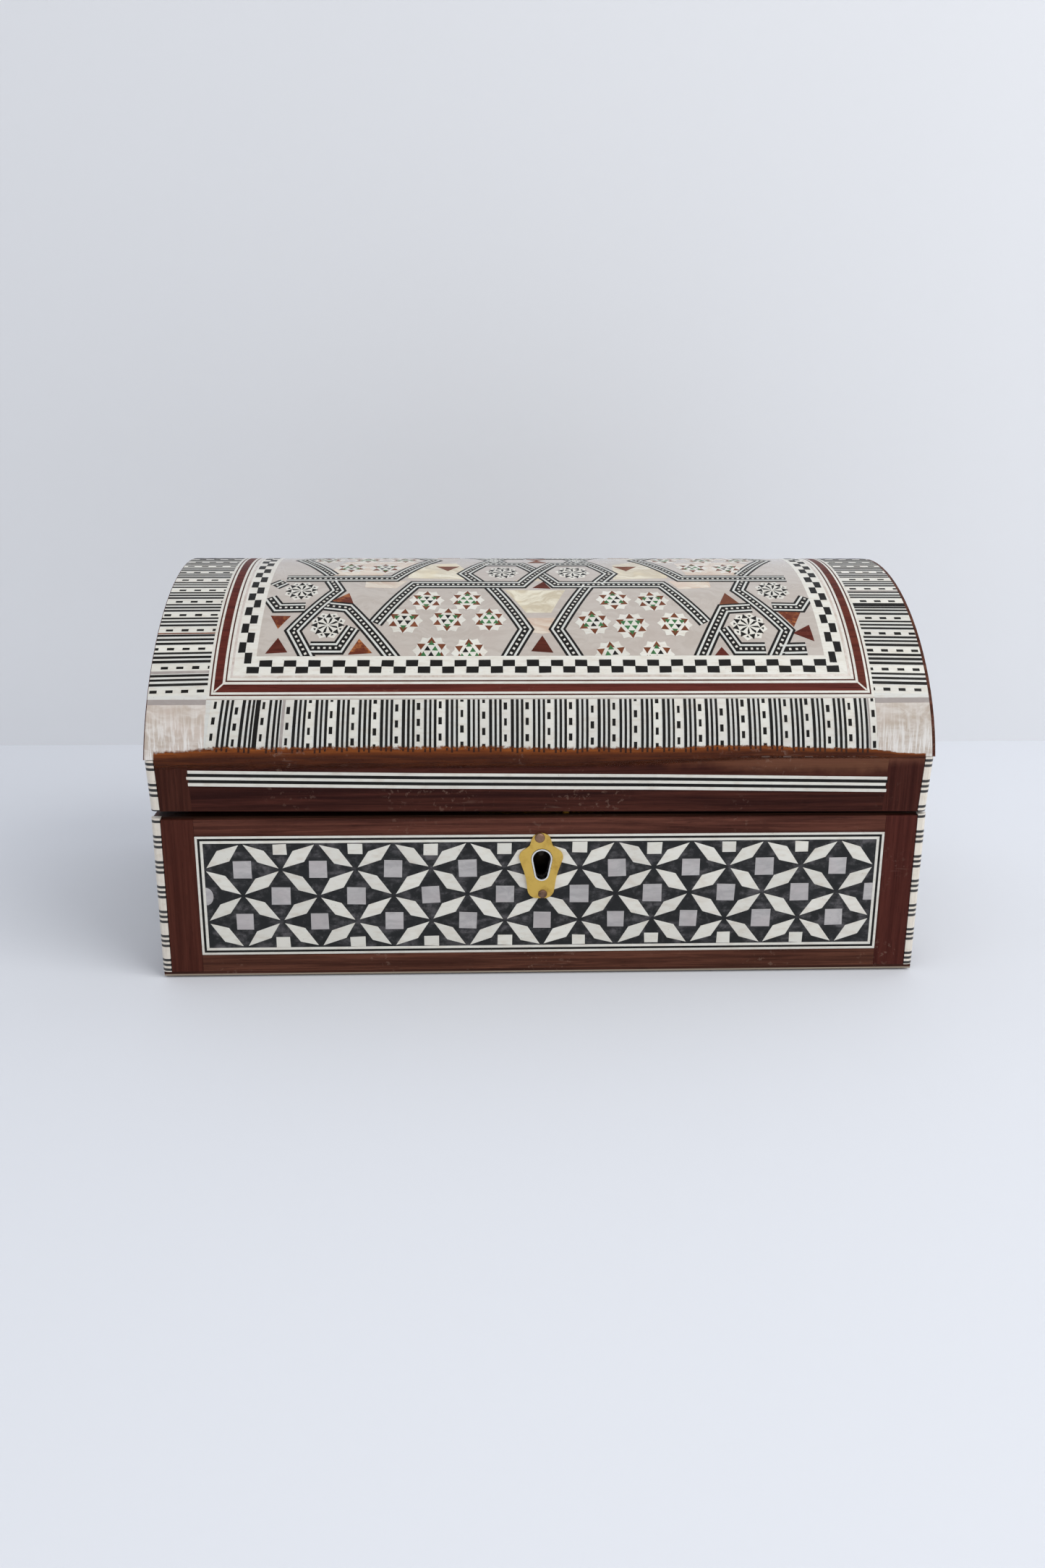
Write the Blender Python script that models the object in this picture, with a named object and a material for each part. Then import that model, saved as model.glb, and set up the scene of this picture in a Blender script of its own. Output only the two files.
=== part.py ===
"""Inlaid wooden box with a domed lid, as separate pieces on a common frame.

Metres, +Z up. The origin is the middle of the footprint on the table, +X is
the right-hand end and -Y is the front with the keyhole. The box is closed.
"""

import math

import bmesh
import bpy

# Driving dimensions.
WIDTH = 0.2100
DEPTH = 0.1160
RIM = 0.0467              # top edge of the body
LID_BOTTOM = 0.0482       # lower edge of the lid at the middle of the front
SAW_FALL = 0.0013         # how much lower that sawn edge is at the right end
DOME_BASE = 0.0630        # where the skirt ends and the dome begins
DOME_RISE = 0.0443
LID_IN = 0.0002           # each end of the lid is this much inside the body's end at the saw cut
LID_FLARE = 0.0006        # and this much outside it at the dome's base
END_LEAN = 0.083          # each end of the dome leans in by this slope
GAP = 0.00015             # glue line between two touching pieces

WALL = 0.0080
VENEER = 0.0014
STRIP = 0.0025            # side of a bone corner strip
STRIP_ROUND = 0.0016
FELT_TOP = 0.0005
LIP_TOP = 0.0018          # pale edge of the base board under the walls
FLOOR_TOP = 0.0050
LINING = 0.0009
LINING_PROUD = 0.0006     # the body's lining stands above the rim, and the lid closes round it

PANEL_HALF = 0.0937       # front panel, half its width
PANEL_LOW = 0.0070
PANEL_HIGH = 0.0416
SHELL = 0.0030            # thickness of the dome's curved core at its crown
INLAY = 0.0012
ARCH_STEPS = 40

HINGE_X = 0.0620
HINGE_LENGTH = 0.0240
HINGE_Y = 0.05745
HINGE_Z = 0.04745
KNUCKLE = 0.00185
PIN = 0.00070
LEAF = 0.00065
LEAF_OFFSET = 0.00045     # leaf face from the axis, box closed
LEAF_FRONT = 0.0510
KNUCKLE_ROOM = 0.0003

KEY_X = -0.0002
KEY_HIGH, KEY_HIGH_R = 0.03475, 0.00245
KEY_LOW, KEY_LOW_R = 0.03040, 0.00160
FERRULE = 0.0004
PLATE_BACK = -0.05810     # escutcheon, back and front faces
PLATE_FRONT = -0.05860
ESCUTCHEON_PINS = (("top", -0.0008, 0.0408, 0.00140), ("bottom", 0.0001, 0.0245, 0.00125))

LOCK_HALF = 0.0170        # half the width of the lock's plate
LOCK_LOW = 0.0225
CASE_HALF = 0.0120
CASE_LOW, CASE_HIGH = 0.0262, 0.0457
CASE_FRONT, CASE_BACK = -0.05505, -0.05100
CASE_WALL = 0.0007
LOCK_SHEET = 0.0008
LINK_X = 0.0065
LINK_HALF = 0.0007
BOLT_MID_Y = -0.0527
STRIKE_HALF = 0.0115
STRIKE_LOW = 0.0479
SCREW_HEAD, SCREW_SHANK = 0.00125, 0.00065

HALF_W = WIDTH / 2
HALF_D = DEPTH / 2
INSIDE_X = HALF_W - WALL
INSIDE_Y = HALF_D - WALL
CORE_X = HALF_W - VENEER - GAP
CORE_Y = HALF_D - VENEER - GAP
NOTCH_X = HALF_W - STRIP - GAP
NOTCH_Y = HALF_D - STRIP - GAP
WALL_LOW = LIP_TOP + GAP
DOME_TOP = DOME_BASE + DOME_RISE

WOOD_FINISHES = {
    "mahogany": ((0.16, 0.045, 0.025), 0.35),
    "carcass": ((0.52, 0.36, 0.22), 0.60),
    "bone": ((0.83, 0.80, 0.72), 0.35),
    "resin": ((0.045, 0.045, 0.05), 0.45),
    "pearl": ((0.62, 0.56, 0.54), 0.30),
    "velvet": ((0.30, 0.01, 0.02), 0.95),
    "felt": ((0.05, 0.14, 0.07), 0.95),
}
METAL_FINISHES = {
    "brass": ((0.80, 0.60, 0.26), 0.35),
    "copper": ((0.36, 0.20, 0.15), 0.45),
    "steel": ((0.60, 0.60, 0.60), 0.35),
}


def clear_scene():
    """Remove whatever the file starts with."""
    for thing in list(bpy.data.objects):
        bpy.data.objects.remove(thing)


def finish(slot):
    """The Principled material of a slot, made once."""
    found = bpy.data.materials.get(slot)
    if found:
        return found
    metallic = slot in METAL_FINISHES
    colour, roughness = (METAL_FINISHES if metallic else WOOD_FINISHES)[slot]
    material = bpy.data.materials.new(slot)
    material.use_nodes = True
    shader = material.node_tree.nodes["Principled BSDF"]
    shader.inputs["Base Color"].default_value = (*colour, 1)
    shader.inputs["Roughness"].default_value = roughness
    shader.inputs["Metallic"].default_value = float(metallic)
    return material


def to_object(name, mesh_data, slot):
    """Make a bmesh into a named object with outward faces."""
    bmesh.ops.recalc_face_normals(mesh_data, faces=mesh_data.faces)
    mesh = bpy.data.meshes.new(name)
    mesh_data.to_mesh(mesh)
    mesh_data.free()
    made = bpy.data.objects.new(name, mesh)
    bpy.context.collection.objects.link(made)
    if slot:
        mesh.materials.append(finish(slot))
    return made


def place(axis, u, v, w):
    """A point of an outline (u, v), raised by w along the axis."""
    return {"X": (w, u, v), "Y": (u, w, v), "Z": (u, v, w)}[axis]


def prism(name, outline, axis, low, high, slot=None):
    """Extrude a closed outline along an axis."""
    data = bmesh.new()
    first = [data.verts.new(place(axis, u, v, low)) for u, v in outline]
    last = [data.verts.new(place(axis, u, v, high)) for u, v in outline]
    data.faces.new(first)
    data.faces.new(reversed(last))
    count = len(outline)
    for i in range(count):
        j = (i + 1) % count
        data.faces.new((first[i], last[i], last[j], first[j]))
    return to_object(name, data, slot)


def block(name, xs, ys, zs, slot=None):
    """A rectangular block between pairs of limits."""
    (x0, x1), (y0, y1), z = xs, ys, zs
    return prism(name, [(x0, y0), (x1, y0), (x1, y1), (x0, y1)], "Z", *z, slot)


def ring(name, outer, inner, axis, low, high, slot=None):
    """Extrude the space between two rectangles, each ((u0, u1), (v0, v1))."""
    def corners(rectangle):
        (u0, u1), (v0, v1) = rectangle
        return [(u0, v0), (u1, v0), (u1, v1), (u0, v1)]

    data = bmesh.new()
    loops = [[data.verts.new(place(axis, u, v, w)) for u, v in corners(rectangle)]
             for w in (low, high) for rectangle in (outer, inner)]
    out_low, in_low, out_high, in_high = loops
    for i in range(4):
        j = (i + 1) % 4
        for a, b in ((out_low, in_low), (in_low, in_high), (in_high, out_high), (out_high, out_low)):
            data.faces.new((a[i], a[j], b[j], b[i]))
    return to_object(name, data, slot)


def turned(name, profile, centre, axis, slot=None, steps=20):
    """Turn a profile of (radius, height) about an axis through a centre."""
    data = bmesh.new()
    rows = []
    for radius, height in profile:
        count = 1 if radius == 0 else steps
        row = []
        for i in range(count):
            angle = 2 * math.pi * i / steps
            u, v = radius * math.cos(angle), radius * math.sin(angle)
            offset = place(axis, u, v, height)
            row.append(data.verts.new([a + b for a, b in zip(centre, offset)]))
        rows.append(row)
    for lower, upper in zip(rows, rows[1:]):
        for i in range(steps):
            j = (i + 1) % steps
            corners = [lower[i % len(lower)], lower[j % len(lower)],
                       upper[j % len(upper)], upper[i % len(upper)]]
            data.faces.new(list(dict.fromkeys(corners)))
    for row in (rows[0], rows[-1]):
        if len(row) > 1:
            data.faces.new(row)
    made = to_object(name, data, slot)
    made.data.shade_smooth()
    made.data.set_sharp_from_angle(angle=math.radians(35))
    return made


def rod(name, centre, axis, radius, low, high, slot=None, steps=20):
    """A plain cylinder between two heights along an axis."""
    return turned(name, [(radius, low), (radius, high)], centre, axis, slot, steps)


def combine(target, tool, operation):
    """Cut a tool from a target, or join it on, and keep the tool as a guide."""
    change = target.modifiers.new(tool.name, "BOOLEAN")
    change.operation = operation
    change.object = tool
    tool.hide_render = True
    tool.display_type = "WIRE"


def cut(target, *tools):
    """Cut each tool from the target."""
    for tool in tools:
        combine(target, tool, "DIFFERENCE")


def join(target, *tools):
    """Join each tool on to the target."""
    for tool in tools:
        combine(target, tool, "UNION")


def arc(centre, radius, start, end, steps):
    """Points on an arc, angles in degrees, both ends included."""
    angles = [math.radians(start + (end - start) * i / steps) for i in range(steps + 1)]
    return [(centre[0] + radius * math.cos(a), centre[1] + radius * math.sin(a)) for a in angles]


def arch(half_depth, rise):
    """The dome's half ellipse in (y, z), from the front over to the back."""
    angles = [math.pi * i / ARCH_STEPS for i in range(ARCH_STEPS + 1)]
    return [(-half_depth * math.cos(a), DOME_BASE + GAP / 2 + rise * math.sin(a)) for a in angles]


def lid_bottom(x):
    """Height of the lid's sawn lower edge."""
    return LID_BOTTOM - SAW_FALL * x / WIDTH


def lid_scale(z):
    """The lid's width at a height, as a part of its width at the dome's base."""
    if z > DOME_BASE:
        return 1 + (LID_FLARE - END_LEAN * (z - DOME_BASE)) / HALF_W
    part_way = (z - LID_BOTTOM) / (DOME_BASE - LID_BOTTOM)
    return 1 + ((LID_IN + LID_FLARE) * part_way - LID_IN) / HALF_W


def shape_lid_piece(piece, sawn=True):
    """Give a lid piece the leaning ends, and the sawn edge if it reaches it."""
    data = bmesh.new()
    data.from_mesh(piece.data)
    everything = data.verts[:] + data.edges[:] + data.faces[:]
    bmesh.ops.bisect_plane(data, geom=everything, plane_co=(0, 0, DOME_BASE),
                           plane_no=(0, 0, 1), dist=1e-6)
    for vert in data.verts:
        if sawn and vert.co.z < LID_BOTTOM + GAP:
            vert.co.z += lid_bottom(vert.co.x) - LID_BOTTOM
        vert.co.x *= lid_scale(vert.co.z)
    data.to_mesh(piece.data)
    data.free()
    return piece


def wall_outline(outer_x, outer_y, side):
    """Plan of a front (side -1) or back (side 1) wall, with corner notches."""
    points = [(-NOTCH_X, outer_y), (NOTCH_X, outer_y), (NOTCH_X, NOTCH_Y), (outer_x, NOTCH_Y),
              (outer_x, INSIDE_Y), (-outer_x, INSIDE_Y), (-outer_x, NOTCH_Y), (-NOTCH_X, NOTCH_Y)]
    return [(x, side * y) for x, y in points]


def strip_outline(side_x, side_y):
    """Plan of a bone corner strip with its outer corner rounded."""
    inner_x, inner_y = HALF_W - STRIP, HALF_D - STRIP
    centre = (HALF_W - STRIP_ROUND, HALF_D - STRIP_ROUND)
    points = [(inner_x, inner_y), (HALF_W, inner_y), *arc(centre, STRIP_ROUND, 0, 90, 5),
              (inner_x, HALF_D)]
    return [(side_x * x, side_y * y) for x, y in points]


def keyhole_outline(grow=0.0):
    """Pear-shaped keyhole in (x, z): a large round over a small one."""
    lean = math.degrees(math.asin((KEY_HIGH_R - KEY_LOW_R) / (KEY_HIGH - KEY_LOW)))
    upper = arc((KEY_X, KEY_HIGH), KEY_HIGH_R + grow, -lean, 180 + lean, 12)
    lower = arc((KEY_X, KEY_LOW), KEY_LOW_R + grow, 180 + lean, 360 - lean, 8)
    return upper + lower


def keyhole_cutter(name, grow, y_low, y_high):
    """A cutter of the keyhole's shape."""
    return prism(name, keyhole_outline(grow), "Y", y_low, y_high)


def screw(name, centre, axis, into, length):
    """A countersunk screw. Its head's flat is at the centre, and it runs along into (+1 or -1)."""
    taper = SCREW_HEAD - SCREW_SHANK
    profile = [(0, 0), (SCREW_HEAD, 0), (SCREW_SHANK, into * taper),
               (SCREW_SHANK, into * (length - SCREW_SHANK)), (0, into * length)]
    return turned(name, profile, centre, axis, "brass", 14)


def screw_cutter(name, centre, axis, into, length, start=0.0005):
    """The hole for a screw: countersunk, with room all round, and open above its head."""
    room = 0.00012
    taper = SCREW_HEAD - SCREW_SHANK
    profile = [(0, -into * start), (SCREW_HEAD + room, -into * start), (SCREW_HEAD + room, 0),
               (SCREW_SHANK + room, into * taper), (SCREW_SHANK + room, into * (length + room)),
               (0, into * (length + room))]
    return turned(name, profile, centre, axis, None, 14)


def make_base():
    """Felt underneath, and the base board rebated into the walls."""
    inset = 0.0020
    xs = (-HALF_W + inset, HALF_W - inset)
    ys = (-HALF_D + inset, HALF_D - inset)
    block("base_felt", xs, ys, (0, FELT_TOP), "felt")
    edge = 0.0004
    low = FELT_TOP + GAP
    board = block("base_board", (-HALF_W + edge, HALF_W - edge), (-HALF_D + edge, HALF_D - edge),
                  (low, LIP_TOP), "carcass")
    raised = block("base_board_middle", (-INSIDE_X + GAP, INSIDE_X - GAP),
                   (-INSIDE_Y + GAP, INSIDE_Y - GAP), (low + 0.0002, FLOOR_TOP))
    join(board, raised)


def make_walls():
    """The four core walls of the body."""
    walls = {}
    for name, side in (("front_board", -1), ("back_board", 1)):
        walls[name] = prism(name, wall_outline(CORE_X, CORE_Y, side), "Z", WALL_LOW, RIM, "carcass")
    for name, side in (("left_board", -1), ("right_board", 1)):
        xs = sorted((side * CORE_X, side * INSIDE_X))
        walls[name] = block(name, xs, (-INSIDE_Y + GAP, INSIDE_Y - GAP), (WALL_LOW, RIM), "carcass")
    return walls


def make_faces():
    """A mahogany frame and an inlaid panel on each of the four faces."""
    heights = (WALL_LOW, RIM)
    panel_heights = (PANEL_LOW, PANEL_HIGH)
    opening = (PANEL_LOW - GAP, PANEL_HIGH + GAP)
    stile = NOTCH_X - PANEL_HALF - GAP
    side_half = NOTCH_Y - stile - GAP
    faces = {}
    for name, side in (("front", -1), ("back", 1)):
        depth = sorted((side * HALF_D, side * (HALF_D - VENEER)))
        faces[name + "_frame"] = ring(name + "_frame", ((-NOTCH_X, NOTCH_X), heights),
                                      ((-PANEL_HALF - GAP, PANEL_HALF + GAP), opening),
                                      "Y", *depth, "mahogany")
        faces[name + "_panel"] = prism(name + "_panel", [
            (-PANEL_HALF, PANEL_LOW), (PANEL_HALF, PANEL_LOW),
            (PANEL_HALF, PANEL_HIGH), (-PANEL_HALF, PANEL_HIGH)], "Y", *depth, "resin")
    for name, side in (("left", -1), ("right", 1)):
        depth = sorted((side * HALF_W, side * (HALF_W - VENEER)))
        ring(name + "_frame", ((-NOTCH_Y, NOTCH_Y), heights),
             ((-side_half - GAP, side_half + GAP), opening), "X", *depth, "mahogany")
        block(name + "_panel", depth, (-side_half, side_half), panel_heights, "resin")
    return faces


def make_corner_strips():
    """Bone strips let into the four corners of the body and of the lid."""
    for front, side_y in (("front", -1), ("back", 1)):
        for hand, side_x in (("left", -1), ("right", 1)):
            outline = strip_outline(side_x, side_y)
            prism(f"body_strip_{front}_{hand}", outline, "Z", WALL_LOW, RIM, "bone")
            strip = prism(f"lid_strip_{front}_{hand}", outline, "Z", LID_BOTTOM,
                          DOME_BASE - GAP / 2, "bone")
            shape_lid_piece(strip)


def make_lining():
    """Velvet lining of the body, with the lock's plate left bare, and a floor pad."""
    outer_x, outer_y = INSIDE_X - GAP, INSIDE_Y - GAP
    inner_x, inner_y = outer_x - LINING, outer_y - LINING
    low = FLOOR_TOP + GAP
    lining = block("body_lining", (-outer_x, outer_x), (-outer_y, outer_y),
                   (low, RIM + LINING_PROUD), "velvet")
    hollow = block("body_lining_hollow", (-inner_x, inner_x), (-inner_y, inner_y), (low + LINING, RIM + 0.01))
    window = block("body_lining_window", (KEY_X - LOCK_HALF - GAP, KEY_X + LOCK_HALF + GAP),
                   (-outer_y - 0.001, -inner_y + 0.001), (LOCK_LOW - GAP, RIM + 0.01))
    cut(lining, hollow, window)
    room = 0.0002
    block("floor_pad", (-inner_x + room, inner_x - room), (-inner_y + room, inner_y - room),
          (low + LINING + GAP, low + LINING + 0.0030), "velvet")


def make_lid_rails():
    """Front and back rails of the lid's skirt."""
    rails = {}
    for name, side in (("lid_front_rail", -1), ("lid_back_rail", 1)):
        rail = prism(name, wall_outline(CORE_X, HALF_D, side), "Z", LID_BOTTOM,
                     DOME_BASE - GAP / 2, "mahogany")
        rails[name] = shape_lid_piece(rail)
    return rails


def make_lid_ends():
    """Arched end boards: an outer face over the dome's end, and a thicker inner part."""
    arch_y, arch_rise = INSIDE_Y - GAP, DOME_RISE - INLAY - SHELL - 2 * GAP - 0.0002
    for name, side in (("lid_end_left", -1), ("lid_end_right", 1)):
        face = [(-NOTCH_Y, LID_BOTTOM), (NOTCH_Y, LID_BOTTOM), (NOTCH_Y, DOME_BASE + GAP / 2),
                *reversed(arch(HALF_D, DOME_RISE)), (-NOTCH_Y, DOME_BASE + GAP / 2)]
        core = [(-arch_y, LID_BOTTOM), (arch_y, LID_BOTTOM), *reversed(arch(arch_y, arch_rise))]
        board = prism(name, face, "X", *sorted((side * HALF_W, side * (HALF_W - VENEER))), "mahogany")
        inner = prism(name + "_core", core, "X",
                      *sorted((side * (HALF_W - VENEER + 0.0002), side * INSIDE_X)))
        shape_lid_piece(board)
        shape_lid_piece(inner)
        join(board, inner)


def arch_sheet(name, outer, inner, slot):
    """A curved sheet between two half ellipses, from one end board to the other."""
    outline = arch(*outer) + list(reversed(arch(*inner)))
    return shape_lid_piece(prism(name, outline, "X", -CORE_X, CORE_X, slot), sawn=False)


def make_dome():
    """The curved core, which is thick at its springing, and the inlaid sheet glued over it."""
    core_outer = (HALF_D - INLAY - GAP, DOME_RISE - INLAY - GAP)
    core_inner = (INSIDE_Y, DOME_RISE - INLAY - GAP - SHELL)
    arch_sheet("dome_core", core_outer, core_inner, "carcass")
    arch_sheet("dome_inlay", (HALF_D, DOME_RISE), (HALF_D - INLAY, DOME_RISE - INLAY), "pearl")


def make_lid_lining():
    """Velvet lining of the lid, open below."""
    outer_y, outer_rise = INSIDE_Y - GAP, DOME_RISE - INLAY - SHELL - 2 * GAP - 0.0002
    inner_y, inner_rise = outer_y - LINING, outer_rise - LINING
    outer_x, inner_x = INSIDE_X - 2 * GAP, INSIDE_X - 2 * GAP - LINING
    low = LID_BOTTOM + 0.0008
    shell = [(-outer_y, low), (outer_y, low), *reversed(arch(outer_y, outer_rise))]
    hollow = [(-inner_y, low - 0.01), (inner_y, low - 0.01), *reversed(arch(inner_y, inner_rise))]
    lining = prism("lid_lining", shell, "X", -outer_x, outer_x, "velvet")
    inside = prism("lid_lining_hollow", hollow, "X", -inner_x, inner_x)
    shape_lid_piece(lining, sawn=False)
    shape_lid_piece(inside, sawn=False)
    cut(lining, inside)


def hinge_leaf(name, centre_x, up, knuckles):
    """One leaf with its knuckles. up is -1 for the body's leaf and 1 for the lid's."""
    near = HINGE_Z + up * LEAF_OFFSET
    far = near + up * LEAF
    heights = sorted((near, far))
    plate_back = HINGE_Y - KNUCKLE - KNUCKLE_ROOM
    half = HINGE_LENGTH / 2
    leaf = block(name, (centre_x - half, centre_x + half), (LEAF_FRONT, plate_back), heights, "brass")
    for number, (start, end) in enumerate(knuckles):
        xs = (centre_x + start, centre_x + end)
        tab = block(f"{name}_tab_{number}", xs, (plate_back - 0.0002, HINGE_Y - PIN - 0.0003), heights)
        barrel = rod(f"{name}_barrel_{number}", (0, HINGE_Y, HINGE_Z), "X", KNUCKLE, *xs)
        join(leaf, tab, barrel)
    bore = rod(name + "_bore", (0, HINGE_Y, HINGE_Z), "X", PIN + 0.00012,
               centre_x - half - 0.001, centre_x + half + 0.001)
    cut(leaf, bore)
    return leaf


def make_hinge(hand, centre_x, back_board, back_frame, lid_rail):
    """A butt hinge let into the back: two leaves, a pin and two screws in each leaf."""
    half = HINGE_LENGTH / 2
    third = HINGE_LENGTH / 6
    clear = 0.0001
    outer_knuckles = ((-half, -third - clear), (third + clear, half))
    body_leaf = hinge_leaf(f"hinge_{hand}_body_leaf", centre_x, -1, outer_knuckles)
    lid_leaf = hinge_leaf(f"hinge_{hand}_lid_leaf", centre_x, 1, ((-third + clear, third - clear),))
    rod(f"hinge_{hand}_pin", (0, HINGE_Y, HINGE_Z), "X", PIN, centre_x - half, centre_x + half, "steel")
    recess_x = (centre_x - half - GAP, centre_x + half + GAP)
    reach = KNUCKLE + KNUCKLE_ROOM
    knuckle_room = block(f"hinge_{hand}_knuckle_room", recess_x, (HINGE_Y - reach, HALF_D + 0.002),
                         (HINGE_Z - reach, HINGE_Z + reach))
    depth = LEAF_OFFSET + LEAF + GAP
    leaf_room = block(f"hinge_{hand}_leaf_room", recess_x, (LEAF_FRONT - GAP, HINGE_Y),
                      (HINGE_Z - depth, HINGE_Z + depth))
    cut(back_board, knuckle_room, leaf_room)
    cut(back_frame, knuckle_room)
    cut(lid_rail, knuckle_room, leaf_room)
    screw_y = (LEAF_FRONT + HINGE_Y - reach) / 2
    for side, offset in (("inner", -0.0075), ("outer", 0.0075)):
        x = centre_x + math.copysign(1, centre_x) * offset
        for part, up, leaf, wood, length in (("body", -1, body_leaf, back_board, 0.0080),
                                             ("lid", 1, lid_leaf, lid_rail, 0.0080)):
            name = f"hinge_{hand}_{part}_screw_{side}"
            centre = (x, screw_y, HINGE_Z + up * (LEAF_OFFSET + 0.0001))
            screw(name, centre, "Z", up, length)
            hole = screw_cutter(name + "_hole", centre, "Z", up, length)
            cut(leaf, hole)
            cut(wood, hole)


def escutcheon_outline():
    """Keyhole plate in (x, z): a small round lobe, wide shoulders and a tapered foot."""
    mid = KEY_X - 0.0002
    right = [*arc((0, 0.0394), 0.0028, 90, 5, 5), (0.0031, 0.0386),
             *arc((0.0036, 0.0352), 0.0024, 62, -28, 5), (0.0047, 0.0312), (0.0041, 0.0290),
             (0.0038, 0.0268), *arc((0.0009, 0.0260), 0.0028, -5, -78, 4)]
    left = [(-x, z) for x, z in reversed(right)][:-1]
    return [(mid + x, z) for x, z in right + left]


def make_escutcheon(front_panel, front_board):
    """Keyhole plate with its two pins, and the ferrule through the keyhole."""
    plate = prism("escutcheon", escutcheon_outline(), "Y", PLATE_FRONT, PLATE_BACK, "brass")
    outside = keyhole_cutter("keyhole_through_hole", FERRULE + 0.0001, -0.0600, -0.0540)
    for target in (plate, front_panel, front_board):
        cut(target, outside)
    ferrule = prism("keyhole_ferrule", keyhole_outline(FERRULE), "Y", -0.05885, -0.05530, "steel")
    cut(ferrule, keyhole_cutter("ferrule_hole", 0.0, -0.0600, -0.0540))
    shank, length, room = 0.0005, 0.0033, 0.0001
    seat = PLATE_FRONT - room
    for name, x, z, radius in ESCUTCHEON_PINS:
        rise = 0.0006
        dome = [(radius * math.cos(a), -rise * math.sin(a)) for a in
                (math.pi / 2 * i / 4 for i in range(4))]
        profile = [(0, -rise), *reversed(dome), (shank, 0), (shank, length - shank), (0, length)]
        turned(f"escutcheon_pin_{name}", profile, (x, seat, z), "Y", "copper", 16)
        hole = rod(f"escutcheon_pin_{name}_hole", (x, seat, z), "Y", shank + room, -0.001,
                   length + room, None, 16)
        for target in (plate, front_panel, front_board):
            cut(target, hole)


def make_lock(front_board):
    """Box lock let into the inside of the front board: plate, case, key post, bolt and spring."""
    inner_face = -INSIDE_Y
    top = RIM - 0.00005
    plate_xs = (KEY_X - LOCK_HALF, KEY_X + LOCK_HALF)
    plate = block("lock_plate", plate_xs, (inner_face - LOCK_SHEET, inner_face), (LOCK_LOW, top), "brass")
    flange = block("lock_plate_flange", plate_xs, (CASE_FRONT, inner_face - 0.0002),
                   (top - LOCK_SHEET, top))
    join(plate, flange)
    slot_ys = (-0.0546, -0.0511)
    slot_xs = (LINK_X - 0.0015, LINK_X + 0.0015)
    cut(plate, block("lock_plate_slot", slot_xs, slot_ys, (top - 0.0020, top + 0.0010)))

    case = block("lock_case", (KEY_X - CASE_HALF, KEY_X + CASE_HALF), (CASE_FRONT, CASE_BACK),
                 (CASE_LOW, CASE_HIGH), "brass")
    hollow = block("lock_case_hollow", (KEY_X - CASE_HALF + CASE_WALL, KEY_X + CASE_HALF - CASE_WALL),
                   (CASE_FRONT + CASE_WALL, CASE_BACK + 0.001),
                   (CASE_LOW + CASE_WALL, CASE_HIGH - CASE_WALL))
    case_slot = block("lock_case_slot", slot_xs, slot_ys, (CASE_HIGH - 0.0020, CASE_HIGH + 0.0010))
    cut(case, hollow, case_slot, keyhole_cutter("lock_case_keyhole", 0.0, -0.0560, -0.0540))

    post_z = KEY_HIGH
    post_head = CASE_BACK - 0.0002
    rod("lock_key_post", (KEY_X, 0, post_z), "Y", 0.0008, -0.0540, post_head, "steel", 14)

    bolt_ys = (BOLT_MID_Y - 0.0006, BOLT_MID_Y + 0.0006)
    bolt = prism("lock_bolt", [
        (-0.0095, 0.0384), (-0.0020, 0.0384), (-0.0020, 0.0402), (0.0010, 0.0402),
        (0.0010, 0.0390), (0.0020, 0.0390), (0.0020, 0.0406), (0.0048, 0.0406),
        (0.0048, 0.0428), (0.0020, 0.0428), (0.0020, 0.0434), (-0.0095, 0.0434)],
        "Y", *bolt_ys, "steel")
    upper = [(-0.0090 + 0.0080 * i / 8, 0.0437 + 0.0009 * math.sin(math.pi * i / 8)) for i in range(9)]
    lower = [(x, z - 0.00025) for x, z in reversed(upper)]
    prism("lock_bolt_spring", upper + lower, "Y", BOLT_MID_Y - 0.0005, BOLT_MID_Y + 0.0005, "steel")

    room = 0.00015
    case_room = block("lock_case_room", (KEY_X - CASE_HALF - room, KEY_X + CASE_HALF + room),
                      (CASE_FRONT - room, inner_face + 0.001), (CASE_LOW - room, RIM + 0.001))
    plate_room = block("lock_plate_room", (plate_xs[0] - room, plate_xs[1] + room),
                       (inner_face - LOCK_SHEET - room, inner_face + 0.001), (LOCK_LOW - room, RIM + 0.001))
    flange_room = block("lock_flange_room", (plate_xs[0] - room, plate_xs[1] + room),
                        (CASE_FRONT - room, inner_face + 0.001), (top - LOCK_SHEET - room, RIM + 0.001))
    cut(front_board, case_room, plate_room, flange_room)
    for hand, x in (("left", KEY_X - 0.0145), ("right", KEY_X + 0.0145)):
        centre = (x, inner_face - 0.0001, 0.0335)
        screw(f"lock_screw_{hand}", centre, "Y", -1, 0.0050)
        hole = screw_cutter(f"lock_screw_{hand}_hole", centre, "Y", -1, 0.0050)
        cut(plate, hole)
        cut(front_board, hole)


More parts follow.
